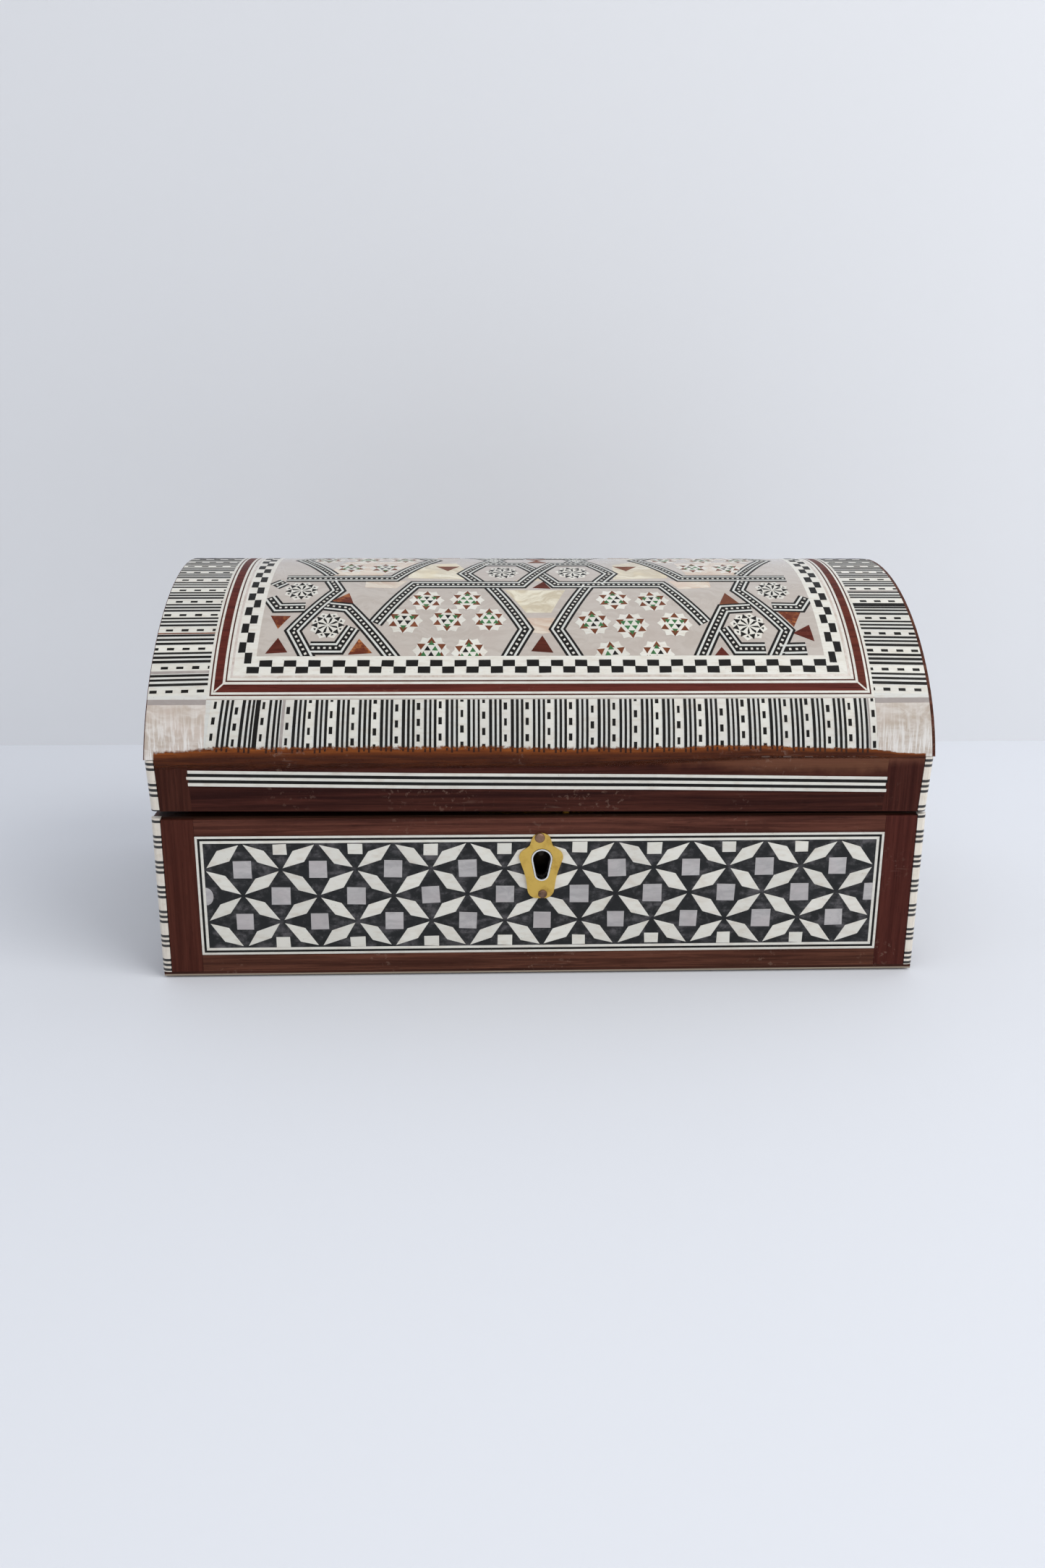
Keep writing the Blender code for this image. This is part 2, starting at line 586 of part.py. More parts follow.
def make_strike(lid_rail):
    """Strike plate under the lid's front rail, with the link that drops into the lock."""
    ys = (-0.0554, -0.0504)
    xs = (KEY_X - STRIKE_HALF, KEY_X + STRIKE_HALF)
    zs = (STRIKE_LOW, STRIKE_LOW + LOCK_SHEET)
    plate = block("strike_plate", xs, ys, zs, "brass")
    link = block("strike_link", (LINK_X - LINK_HALF, LINK_X + LINK_HALF),
                 (BOLT_MID_Y - 0.0013, BOLT_MID_Y + 0.0013), (0.0392, STRIKE_LOW + 0.0002))
    window = block("strike_link_window", (LINK_X - 0.002, LINK_X + 0.002),
                   (BOLT_MID_Y - 0.0009, BOLT_MID_Y + 0.0009), (0.0402, 0.0432))
    join(plate, link)
    cut(plate, window)
    room = 0.0001
    cut(lid_rail, block("strike_room", (xs[0] - room, xs[1] + room), (ys[0] - room, ys[1] + room),
                        (zs[0] - 0.001, zs[1] + room)))
    for hand, x in (("left", KEY_X - 0.0094), ("right", KEY_X + 0.0097)):
        centre = (x, -0.0529, STRIKE_LOW + 0.0001)
        screw(f"strike_screw_{hand}", centre, "Z", 1, 0.0070)
        hole = screw_cutter(f"strike_screw_{hand}_hole", centre, "Z", 1, 0.0070)
        cut(plate, hole)
        cut(lid_rail, hole)


def main():
    """Build the whole box."""
    clear_scene()
    make_base()
    walls = make_walls()
    faces = make_faces()
    make_corner_strips()
    make_lining()
    rails = make_lid_rails()
    make_lid_ends()
    make_dome()
    make_lid_lining()
    for hand, x in (("left", -HINGE_X), ("right", HINGE_X)):
        make_hinge(hand, x, walls["back_board"], faces["back_frame"], rails["lid_back_rail"])
    make_escutcheon(faces["front_panel"], walls["front_board"])
    make_lock(walls["front_board"])
    make_strike(rails["lid_front_rail"])


main()
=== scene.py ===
"""Inlaid wooden box with a domed lid: the visible pieces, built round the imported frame.

Lengths are in millimetres inside the classes and become metres where a mesh is made. Shader
coordinates and the studio are in metres.
+X is the right-hand end, -Y is the front with the keyhole, +Z is up.
"""

import logging
import math
import random
from bisect import bisect_left
from dataclasses import dataclass, field
from enum import Enum
from typing import Callable, Protocol, Union

import bmesh
import bpy
from bmesh.types import BMesh, BMVert
from mathutils import Matrix, Vector


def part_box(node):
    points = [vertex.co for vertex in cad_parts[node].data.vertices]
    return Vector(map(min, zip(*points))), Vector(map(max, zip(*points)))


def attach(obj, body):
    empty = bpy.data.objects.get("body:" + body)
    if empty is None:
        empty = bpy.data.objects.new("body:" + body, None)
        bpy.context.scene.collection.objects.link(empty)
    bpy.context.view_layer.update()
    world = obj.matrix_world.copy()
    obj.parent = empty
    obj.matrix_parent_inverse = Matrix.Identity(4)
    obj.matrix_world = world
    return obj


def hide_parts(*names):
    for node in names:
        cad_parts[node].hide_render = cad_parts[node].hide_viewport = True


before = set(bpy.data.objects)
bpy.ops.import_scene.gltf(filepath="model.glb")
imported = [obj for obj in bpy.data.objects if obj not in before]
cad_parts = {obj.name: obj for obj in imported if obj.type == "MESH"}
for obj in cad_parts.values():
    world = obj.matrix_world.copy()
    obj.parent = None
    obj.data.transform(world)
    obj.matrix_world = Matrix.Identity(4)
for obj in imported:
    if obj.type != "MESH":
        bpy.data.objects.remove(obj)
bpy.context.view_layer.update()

log = logging.getLogger("inlaid_box")

MM = 0.001
HALF_W, HALF_D = 105.0, 58.0  # half the body's width and depth
RIM = 46.7  # top of the body's boards
SAWN, SAW_FALL = 48.2, 1.3  # the lid's sawn edge at the middle, and how far it falls to the right
DOME_BASE, DOME_RISE = 63.0, 44.3  # where the dome starts, and its height above that
SPRINGING = 63.075  # where the inlay's own curve starts, a hair above the base
LID_IN, LID_FLARE, END_LEAN = 0.2, 0.6, 0.083  # the lid's ends: in at the foot, out above, then leaning
NOTCH_X, NOTCH_Y = 102.35, 55.35  # where the corner strips begin
CORE_X = 103.45  # half the length of the dome's ground

Point = tuple[float, float]
Outline = list[Point]
Colour = tuple[float, float, float]
Grid = list[list[BMVert]]
Node, Tree, Socket = bpy.types.Node, bpy.types.NodeTree, bpy.types.NodeSocket
Feed = Union[Socket, float, tuple, int]


class Axis(Enum):
    """An axis of the box, by its number."""

    X = 0
    Y = 1
    Z = 2


class Side(Enum):
    """A side of the box, as its pieces are named."""

    FRONT = "front"
    BACK = "back"
    LEFT = "left"
    RIGHT = "right"


# ---- node trees


class Shade:
    """A node tree with short ways to add nodes and join them."""

    def __init__(self, tree: Tree) -> None:
        """Keep the tree."""
        self.tree = tree

    def add(self, kind: str, feeds: dict | None = None, **settings) -> Node:
        """Add a node.

        Args:
            kind: the node's type, without the leading ShaderNode.
            feeds: values or sockets for its inputs, by name or number.
            settings: attributes of the node.

        Returns:
            The new node.
        """
        node = self.tree.nodes.new("ShaderNode" + kind)
        for name, value in settings.items():
            setattr(node, name, value)
        for key, value in (feeds or {}).items():
            self.feed(node.inputs[key], value)
        return node

    def feed(self, socket: Socket, value: Feed) -> None:
        """Join a socket to an input, or set the input's own value.

        Args:
            socket: the input.
            value: a socket to join to it, or its own value.
        """
        if isinstance(value, Socket):
            self.tree.links.new(value, socket)
        elif isinstance(value, tuple) and socket.type == "RGBA":
            socket.default_value = (*value[:3], 1.0)
        else:
            socket.default_value = value

    def calc(self, operation: str, *values: Feed, clamp: bool = False) -> Socket:
        """Result of a Math node over the values."""
        feeds = dict(enumerate(values))
        return self.add("Math", feeds, operation=operation, use_clamp=clamp).outputs[0]

    def mix(self, factor: Feed, first: Feed, second: Feed, how: str = "MIX") -> Socket:
        """Colour between two colours.

        Args:
            factor: how much of the second.
            first: the first colour.
            second: the second colour.
            how: how they are blended.

        Returns:
            The mixed colour.
        """
        node = self.add("Mix", data_type="RGBA", blend_type=how)
        self.feed(node.inputs[0], factor)
        self.feed(node.inputs[6], first)
        self.feed(node.inputs[7], second)
        return node.outputs[2]

    def span(self, value: Feed, low: float, high: float, to_low: float = 0.0,
             to_high: float = 1.0) -> Socket:
        """A value moved smoothly from one range to another, and held at its ends."""
        feeds = {0: value, 1: low, 2: high, 3: to_low, 4: to_high}
        return self.add("MapRange", feeds, interpolation_type="SMOOTHSTEP").outputs[0]

    def noise(self, where: Feed, scale: float, detail: float = 3.0, rough: float = 0.55) -> Socket:
        """Grey noise at a scale per metre."""
        feeds = {"Vector": where, "Scale": scale, "Detail": detail, "Roughness": rough}
        return self.add("TexNoise", feeds).outputs[0]

    def stretch(self, where: Feed, sizes: Colour) -> Socket:
        """Coordinates scaled along each axis."""
        return self.add("VectorMath", {0: where, 1: sizes}, operation="MULTIPLY").outputs[0]

    def shift(self, where: Feed, x: Feed, y: Feed, z: Feed) -> Socket:
        """Coordinates moved along each axis."""
        step = self.add("CombineXYZ", {0: x, 1: y, 2: z}).outputs[0]
        return self.add("VectorMath", {0: where, 1: step}, operation="ADD").outputs[0]

    def along(self, where: Feed, axis: Axis) -> Socket:
        """One of the three coordinates."""
        return self.add("SeparateXYZ", {0: where}).outputs[axis.value]

    def paint(self, surface: Node, values: dict[str, Feed]) -> None:
        """Feed a shader's inputs by name."""
        for name, value in values.items():
            self.feed(surface.inputs[name], value)

    def effect(self, group: Tree, **feeds: Feed) -> Node:
        """Place a shared effect with its own values.

        Args:
            group: the effect.
            feeds: values or sockets for its inputs, by name.

        Returns:
            The group's node.
        """
        node = self.tree.nodes.new("ShaderNodeGroup")
        node.node_tree = group
        for key, value in feeds.items():
            self.feed(node.inputs[key], value)
        return node

    def place(self) -> Socket:
        """Object coordinates, which are the box's own at rest."""
        return self.add("TexCoord").outputs["Object"]

    def bump(self, height: Socket, strength: float, distance: float) -> Socket:
        """Surface normal from a height."""
        return self.add("Bump", {"Height": height, "Strength": strength,
                                 "Distance": distance}).outputs[0]


class Effects:
    """Shared shader effects, each a node group made once."""

    made: dict[str, Tree] = {}

    @classmethod
    def group(cls, name: str, inputs: list[tuple], outputs: list[tuple],
              wire: Callable[[Shade, Node], dict]) -> Tree:
        """Make a group, or give the one already made.

        Args:
            name: the group's name.
            inputs: (name, socket type, default) of each input.
            outputs: (name, socket type) of each output.
            wire: builds the inside from the input node and returns a socket for each output.

        Returns:
            The group.
        """
        if name in cls.made:
            return cls.made[name]
        tree = bpy.data.node_groups.new(name, "ShaderNodeTree")
        for label, kind, default in inputs:
            socket = tree.interface.new_socket(label, in_out="INPUT", socket_type="NodeSocket" + kind)
            if default is not None:
                socket.default_value = default
        for label, kind in outputs:
            tree.interface.new_socket(label, in_out="OUTPUT", socket_type="NodeSocket" + kind)
        start = tree.nodes.new("NodeGroupInput")
        end = tree.nodes.new("NodeGroupOutput")
        for label, socket in wire(Shade(tree), start).items():
            tree.links.new(socket, end.inputs[label])
        cls.made[name] = tree
        return tree

    @classmethod
    def tone(cls) -> Tree:
        """Each cut piece a little lighter or darker than the next.

        Returns:
            The group.
        """

        def wire(shade: Shade, start: Node) -> dict:
            """Change the value and warmth by the piece.

            Args:
                shade: its node tree.
                start: its input node.

            Returns:
                A socket for each output.
            """
            chance = shade.add("NewGeometry").outputs["Random Per Island"]
            centred = shade.calc("SUBTRACT", chance, 0.5)
            swing = shade.calc("MULTIPLY", centred, start.outputs["Amount"])
            value = shade.calc("ADD", swing, 1.0)
            other = shade.calc("FRACT", shade.calc("MULTIPLY", chance, 37.7))
            hue = shade.calc("MULTIPLY_ADD", shade.calc("SUBTRACT", other, 0.5),
                             start.outputs["Warmth"], 0.5)
            feeds = {"Hue": hue, "Value": value, "Color": start.outputs["Color"]}
            return {"Color": shade.add("HueSaturation", feeds).outputs[0], "Chance": other}

        return cls.group("piece_tone", [("Color", "Color", None), ("Amount", "Float", 0.2),
                                        ("Warmth", "Float", 0.02)],
                         [("Color", "Color"), ("Chance", "Float")], wire)

    @classmethod
    def grain(cls) -> Tree:
        """Wood grain along the stretched axis: broad figure, fine streaks and open pores.

        Returns:
            The group.
        """

        def wire(shade: Shade, start: Node) -> dict:
            """Layer three stretched noises.

            Args:
                shade: its node tree.
                start: its input node.

            Returns:
                A socket for each output.
            """
            where = start.outputs["Vector"]
            sway = shade.noise(where, 0.9, 2.0)
            moved = shade.shift(where, sway, sway, sway)
            figure = shade.noise(moved, 2.2, 4.0, 0.6)
            streak = shade.noise(moved, 9.0, 5.0, 0.7)
            pores = shade.span(shade.noise(where, 21.0, 2.0, 0.5), 0.60, 0.70)
            return {"Figure": figure, "Streak": streak, "Pores": pores}

        return cls.group("wood_grain", [("Vector", "Vector", None)],
                         [("Figure", "Float"), ("Streak", "Float"), ("Pores", "Float")], wire)

    @classmethod
    def rubbed(cls) -> Tree:
        """Scuffed spots and fine scratches in a varnish.

        Returns:
            The group.
        """

        def wire(shade: Shade, start: Node) -> dict:
            """Threshold small noise where broad noise is high.

            Args:
                shade: its node tree.
                start: its input node.

            Returns:
                A socket for each output.
            """
            where = start.outputs["Vector"]
            broad = shade.span(shade.noise(where, 60.0, 2.0), 0.50, 0.68)
            spots = shade.span(shade.noise(where, 640.0, 4.0, 0.65), 0.57, 0.64)
            scratch = shade.noise(shade.stretch(where, (90.0, 700.0, 900.0)), 1.0, 3.0, 0.6)
            scratches = shade.span(scratch, 0.64, 0.69)
            both = shade.calc("MAXIMUM", spots, shade.calc("MULTIPLY", scratches, 0.6))
            mask = shade.calc("MULTIPLY", shade.calc("MULTIPLY", both, broad),
                              start.outputs["Amount"], clamp=True)
            return {"Mask": mask}

        return cls.group("rubbed_spots", [("Vector", "Vector", None), ("Amount", "Float", 0.5)],
                         [("Mask", "Float")], wire)

    @classmethod
    def shell(cls) -> Tree:
        """Figure of cut shell: soft wavy bands and clouds that differ from piece to piece.

        Returns:
            The group.
        """

        def wire(shade: Shade, start: Node) -> dict:
            """Warp the coordinates, then band them.

            Args:
                shade: its node tree.
                start: its input node.

            Returns:
                A socket for each output.
            """
            where = start.outputs["Vector"]
            chance = shade.add("NewGeometry").outputs["Random Per Island"]
            shift = shade.calc("MULTIPLY", chance, start.outputs["Scatter"])
            moved = shade.shift(where, shift, shift, shift)
            warp = shade.noise(moved, 55.0, 3.0, 0.5)
            bent = shade.shift(moved, 0.0, shade.calc("MULTIPLY", warp, 0.030), 0.0)
            bands = shade.noise(shade.stretch(bent, (60.0, 420.0, 420.0)), 1.0, 4.0, 0.6)
            cloud = shade.noise(moved, 90.0, 3.0, 0.5)
            fine = shade.noise(shade.stretch(bent, (300.0, 2400.0, 2400.0)), 1.0, 2.0, 0.5)
            return {"Bands": bands, "Cloud": cloud, "Fine": fine}

        return cls.group("shell_figure", [("Vector", "Vector", None), ("Scatter", "Float", 3.0)],
                         [("Bands", "Float"), ("Cloud", "Float"), ("Fine", "Float")], wire)

    @classmethod
    def grime(cls) -> Tree:
        """Dark specks and a thin film of dirt left in low places.

        Returns:
            The group.
        """

        def wire(shade: Shade, start: Node) -> dict:
            """Specks from sparse cells, film from broad noise.

            Args:
                shade: its node tree.
                start: its input node.

            Returns:
                A socket for each output.
            """
            where = start.outputs["Vector"]
            cells = shade.add("TexVoronoi", {"Vector": where, "Scale": 900.0})
            near = shade.span(cells.outputs["Distance"], 0.05, 0.16, 1.0, 0.0)
            pick = shade.span(shade.noise(where, 300.0, 1.0), 0.60, 0.66)
            film = shade.span(shade.noise(where, 120.0, 4.0, 0.6), 0.48, 0.75)
            return {"Specks": shade.calc("MULTIPLY", near, pick), "Film": film}

        return cls.group("grime", [("Vector", "Vector", None)],
                         [("Specks", "Float"), ("Film", "Float")], wire)


# ---- finishes


@dataclass(frozen=True)
class Finish:
    """A finish with its own material, made once."""

    name: str
    slot: str

    def material(self) -> bpy.types.Material:
        """The material of this finish.

        Returns:
            The material.
        """
        found = bpy.data.materials.get(self.name)
        if found is None:
            found = bpy.data.materials.new(self.name)
            found.use_nodes = True
            shade = Shade(found.node_tree)
            self.dress(shade, found.node_tree.nodes["Principled BSDF"])
        return found

    def dress(self, shade: Shade, surface: Node) -> None:
        """Wire the finish into its shader."""
        raise NotImplementedError


@dataclass(frozen=True)
class Bone(Finish):
    """Sawn and polished bone, with faint streaks, and a difference from piece to piece."""

    colour: Colour = (0.73, 0.715, 0.65)
    stain: Colour = (0.54, 0.47, 0.38)
    spread: float = 0.12
    ringed: bool = False

    def dress(self, shade: Shade, surface: Node) -> None:
        """Streaks, pits and a warm stain.

        Args:
            shade: its node tree.
            surface: its shader.
        """
        where = shade.place()
        streak = shade.noise(shade.stretch(where, (260.0, 1600.0, 700.0)), 1.0, 4.0, 0.6)
        grime = shade.effect(Effects.grime(), Vector=where)
        colour = shade.mix(shade.span(streak, 0.42, 0.75, 0.0, 0.45), self.colour, self.stain)
        colour = shade.mix(shade.calc("MULTIPLY", grime.outputs["Film"], 0.16), colour, self.stain)
        colour = shade.effect(Effects.tone(), Color=colour, Amount=self.spread, Warmth=0.012).outputs[0]
        colour = shade.mix(shade.calc("MULTIPLY", grime.outputs["Specks"], 0.55), colour,
                           (0.20, 0.15, 0.10))
        if self.ringed:
            colour = shade.mix(self.rings(shade, where), colour, (0.012, 0.011, 0.010))
        shade.paint(surface, {
            "Base Color": colour, "Roughness": shade.span(streak, 0.3, 0.7, 0.30, 0.46),
            "Coat Weight": 0.25, "Coat Roughness": 0.18, "Subsurface Weight": 0.04,
            "Subsurface Radius": (0.0012, 0.0009, 0.0006), "Subsurface Scale": 0.4,
            "Normal": shade.bump(streak, 0.18, 0.00004)})

    def rings(self, shade: Shade, where: Socket) -> Socket:
        """Mask of the three black lines that go round a corner strip, group after group.

        Args:
            shade: its node tree.
            where: coordinates on the surface.

        Returns:
            The mask.
        """
        first, pitch, middles = 2.05 * MM, 7.24 * MM, (0.100, 0.300, 0.500)
        sway = shade.calc("MULTIPLY", shade.noise(where, 45.0, 1.0), 0.0005)
        height = shade.calc("ADD", shade.along(where, Axis.Z), sway)
        turn = shade.calc("FRACT", shade.calc("DIVIDE", shade.calc("SUBTRACT", height, first), pitch))
        masks = []
        for middle in middles:
            away = shade.calc("ABSOLUTE", shade.calc("SUBTRACT", turn, middle))
            masks.append(shade.span(away, 0.046, 0.058, 1.0, 0.0))
        return shade.calc("MAXIMUM", shade.calc("MAXIMUM", masks[0], masks[1]), masks[2])


@dataclass(frozen=True)
class Shell(Finish):
    """Mother-of-pearl or the pale shell paste round it."""

    deep: Colour = (0.50, 0.42, 0.36)
    light: Colour = (0.66, 0.61, 0.54)
    blush: Colour = (0.66, 0.50, 0.46)
    scatter: float = 3.0
    strength: float = 0.6
    gloss: float = 0.22
    fibre: float = 0.0

    def dress(self, shade: Shade, surface: Node) -> None:
        """Banded clouds of cream, grey and pink under a gloss, with upright fibres at the corners.

        Args:
            shade: its node tree.
            surface: its shader.
        """
        where = shade.place()
        figure = shade.effect(Effects.shell(), Vector=where, Scatter=self.scatter)
        bands, cloud = figure.outputs["Bands"], figure.outputs["Cloud"]
        colour = shade.mix(shade.span(bands, 0.36, 0.64), self.deep, self.light)
        colour = shade.mix(shade.span(cloud, 0.50, 0.68, 0.0, self.strength), colour, self.blush)
        colour = shade.mix(shade.span(figure.outputs["Fine"], 0.35, 0.7, 0.0, 0.18), colour,
                           self.deep)
        if self.fibre:
            threads = shade.noise(shade.stretch(where, (1500.0, 260.0, 110.0)), 1.0, 3.0, 0.6)
            threads = shade.span(threads, 0.46, 0.60, 0.0, self.fibre)
            low = shade.span(shade.along(where, Axis.Z), 0.066, 0.077, 1.0, 0.15)
            colour = shade.mix(shade.calc("MULTIPLY", low, threads), colour, (0.84, 0.82, 0.79))
        colour = shade.effect(Effects.tone(), Color=colour, Amount=0.14, Warmth=0.02).outputs[0]
        shade.paint(surface, {
            "Base Color": colour, "Coat Weight": 0.6, "Coat Roughness": 0.10,
            "Roughness": shade.span(cloud, 0.3, 0.7, self.gloss, self.gloss + 0.16),
            "Normal": shade.bump(bands, 0.12, 0.0001)})


@dataclass(frozen=True)
class Wood(Finish):
    """Varnished wood with the grain along one axis."""

    dark: Colour = (0.050, 0.0170, 0.0115)
    light: Colour = (0.135, 0.050, 0.032)
    along: Axis = Axis.X
    varnish: float = 0.0
    wear: float = 0.55
    worn_top: float = 0.0
    pale_foot: float = 0.0

    def dress(self, shade: Shade, surface: Node) -> None:
        """Grain colours, pores, scuffs and, on the skirt, the worn orange upper edge.

        Args:
            shade: its node tree.
            surface: its shader.
        """
        where = shade.place()
        lengthwise, crosswise = 9.0, 330.0
        sizes = tuple(lengthwise if axis is self.along else crosswise for axis in Axis)
        grain = shade.effect(Effects.grain(), Vector=shade.stretch(where, sizes))
        figure, streak, pores = (grain.outputs[n] for n in ("Figure", "Streak", "Pores"))
        colour = shade.mix(shade.span(figure, 0.32, 0.68), self.dark, self.light)
        colour = shade.mix(shade.span(streak, 0.40, 0.72, 0.0, 0.55), colour, self.dark)
        colour = shade.mix(shade.calc("MULTIPLY", pores, 0.6), colour, (0.012, 0.004, 0.003))
        if self.worn_top:
            colour = self.worn(shade, where, streak, colour)
        if self.pale_foot:
            edge = self.pale_foot * MM
            above = shade.span(shade.along(where, Axis.Z), edge, edge + 0.0001)
            colour = shade.mix(above, (0.34, 0.28, 0.22), colour)
        colour = shade.effect(Effects.tone(), Color=colour, Amount=0.10, Warmth=0.01).outputs[0]
        rubbed = shade.effect(Effects.rubbed(), Vector=where, Amount=self.wear).outputs[0]
        colour = shade.mix(shade.calc("MULTIPLY", rubbed, 0.5), colour, (0.26, 0.17, 0.13))
        rough = shade.span(streak, 0.3, 0.7, 0.34, 0.46)
        relief = shade.calc("SUBTRACT", shade.calc("MULTIPLY", streak, 0.5), pores)
        shade.paint(surface, {
            "Base Color": colour, "Coat Weight": self.varnish, "Coat Roughness": 0.22,
            "Roughness": shade.calc("MULTIPLY_ADD", rubbed, 0.3, rough, clamp=True),
            "Specular IOR Level": 0.05, "Normal": shade.bump(relief, 0.22, 0.00006)})

    def worn(self, shade: Shade, where: Socket, streak: Socket, colour: Socket) -> Socket:
        """The skirt's upper edge, rubbed orange at the left and bare and paler at the right.

        Args:
            shade: its node tree.
            where: coordinates on the surface.
            streak: the grain's fine streaks.
            colour: the colour so far.

        Returns:
            The colour with the worn edge.
        """
        ragged = shade.calc("MULTIPLY_ADD", shade.noise(where, 130.0, 4.0, 0.6), 0.0050,
                            shade.along(where, Axis.Z))
        bare = shade.span(shade.along(where, Axis.X), 0.015, 0.065)
        ragged = shade.calc("MULTIPLY_ADD", bare, 0.0024, ragged)
        orange = shade.mix(streak, (0.13, 0.032, 0.010), (0.066, 0.017, 0.008))
        pale = shade.mix(streak, (0.19, 0.078, 0.044), (0.095, 0.036, 0.022))
        top = self.worn_top * MM
        mask = shade.span(ragged, top, top + 0.0034, 0.0, 0.85)
        return shade.mix(mask, colour, shade.mix(bare, orange, pale))


@dataclass(frozen=True)
class Paste(Finish):
    """Hard filler, dye or stained horn: one colour with clouds and specks in it."""

    colour: Colour = (0.020, 0.020, 0.021)
    cloud: Colour = (0.060, 0.060, 0.064)
    amount: float = 0.6
    scale: float = 420.0
    roughness: float = 0.42

    def dress(self, shade: Shade, surface: Node) -> None:
        """Mottled colour and a rubbed surface.

        Args:
            shade: its node tree.
            surface: its shader.
        """
        where = shade.place()
        mottle = shade.noise(where, self.scale, 4.0, 0.65)
        smear = shade.noise(shade.stretch(where, (150.0, 500.0, 500.0)), 1.0, 4.0, 0.65)
        both = shade.calc("MULTIPLY", shade.span(mottle, 0.42, 0.68), shade.span(smear, 0.36, 0.66))
        colour = shade.mix(shade.calc("MULTIPLY", both, self.amount), self.colour, self.cloud)
        rubbed = shade.effect(Effects.rubbed(), Vector=where, Amount=0.5).outputs[0]
        colour = shade.mix(shade.calc("MULTIPLY", rubbed, 0.35), colour, self.cloud)
        low = self.roughness
        shade.paint(surface, {
            "Base Color": colour, "Roughness": shade.span(smear, 0.3, 0.7, low, low + 0.2),
            "Coat Weight": 0.04, "Coat Roughness": 0.2, "Specular IOR Level": 0.15,
            "Normal": shade.bump(mottle, 0.2, 0.00005)})


@dataclass(frozen=True)
class Metal(Finish):
    """Handled metal: tarnish in clouds, bright where it is rubbed."""

    colour: Colour = (0.60, 0.42, 0.15)
    tarnish: Colour = (0.26, 0.16, 0.06)
    roughness: float = 0.30
    shaded_below: float = 0.0

    def dress(self, shade: Shade, surface: Node) -> None:
        """Tarnish, brushing, fine dents and, on the lock plate, painted shade: black below a height, for
        the dark inside of the keyhole.

        Args:
            shade: its node tree.
            surface: its shader.
        """
        where = shade.place()
        cloud = shade.noise(where, 260.0, 5.0, 0.65)
        brush = shade.noise(shade.stretch(where, (500.0, 500.0, 4200.0)), 1.0, 3.0, 0.6)
        dirt = shade.effect(Effects.grime(), Vector=where)
        colour = shade.mix(shade.span(cloud, 0.45, 0.72, 0.0, 0.75), self.colour, self.tarnish)
        colour = shade.mix(shade.calc("MULTIPLY", dirt.outputs["Specks"], 0.7), colour,
                           (0.05, 0.035, 0.02))
        # painted shade: black below the height, where the keyhole's inside is in shade
        if self.shaded_below:
            edge = self.shaded_below * MM
            above = shade.span(shade.along(where, Axis.Z), edge, edge + 0.0004)
            colour = shade.mix(above, (0.010, 0.008, 0.006), colour)
        low = self.roughness
        relief = shade.calc("ADD", shade.calc("MULTIPLY", brush, 0.35), cloud)
        shade.paint(surface, {
            "Base Color": colour, "Metallic": 1.0, "Normal": shade.bump(relief, 0.25, 0.00006),
            "Roughness": shade.span(cloud, 0.35, 0.7, low, low + 0.25)})


@dataclass(frozen=True)
class Pile(Finish):
    """Velvet or felt: a dark ground, a soft sheen and brushed patches."""

    dark: Colour = (0.14, 0.004, 0.010)
    light: Colour = (0.34, 0.018, 0.034)
    sheen: float = 0.8
    fibre: float = 5200.0

    def dress(self, shade: Shade, surface: Node) -> None:
        """Patches where the pile lies over, and a fine nap.

        Args:
            shade: its node tree.
            surface: its shader.
        """
        where = shade.place()
        patch = shade.noise(where, 48.0, 2.0, 0.5)
        nap = shade.noise(where, self.fibre, 2.0, 0.6)
        colour = shade.mix(shade.span(patch, 0.34, 0.74), self.dark, self.light)
        colour = shade.mix(shade.span(nap, 0.45, 0.7, 0.0, 0.5), colour, self.dark)
        shade.paint(surface, {
            "Base Color": colour, "Roughness": shade.span(nap, 0.3, 0.7, 0.85, 1.0),
            "Sheen Weight": self.sheen, "Sheen Roughness": 0.35, "Sheen Tint": self.light,
            "Specular IOR Level": 0.1, "Normal": shade.bump(nap, 0.5, 0.00012)})


@dataclass(frozen=True)
class WornVarnish(Finish):
    """Orange-brown varnish run over the lower ends of the dome's strips, thin at its edge."""

    def dress(self, shade: Shade, surface: Node) -> None:
        """Orange at its ragged upper edge, brown below, and thinning out both ways.

        Args:
            shade: its node tree.
            surface: its shader.
        """
        where = shade.place()
        share = shade.add("Attribute", attribute_name="share").outputs["Fac"]
        break_up = shade.noise(where, 900.0, 4.0, 0.7)
        shift = shade.calc("MULTIPLY", shade.calc("SUBTRACT", break_up, 0.5), 0.35)
        strayed = shade.calc("ADD", share, shift)
        fade = shade.calc("MULTIPLY", shade.span(strayed, 0.80, 0.97, 1.0, 0.0),
                          shade.span(share, 0.0, 0.35))
        drift = shade.noise(shade.stretch(where, (70.0, 500.0, 1100.0)), 1.0, 4.0, 0.65)
        edge = shade.mix(shade.span(drift, 0.35, 0.65), (0.28, 0.078, 0.015), (0.14, 0.034, 0.009))
        body = shade.mix(shade.span(drift, 0.40, 0.66), (0.048, 0.0125, 0.0055), (0.088, 0.023, 0.0075))
        colour = shade.mix(shade.span(share, 0.50, 0.86), body, edge)
        rubbed = shade.effect(Effects.rubbed(), Vector=where, Amount=0.9).outputs[0]
        colour = shade.mix(shade.calc("MULTIPLY", rubbed, 0.4), colour, (0.24, 0.16, 0.13))
        shade.paint(surface, {
            "Base Color": colour, "Alpha": fade, "Specular IOR Level": 0.10,
            "Roughness": shade.span(break_up, 0.3, 0.7, 0.25, 0.45),
            "Normal": shade.bump(break_up, 0.4, 0.0001)})


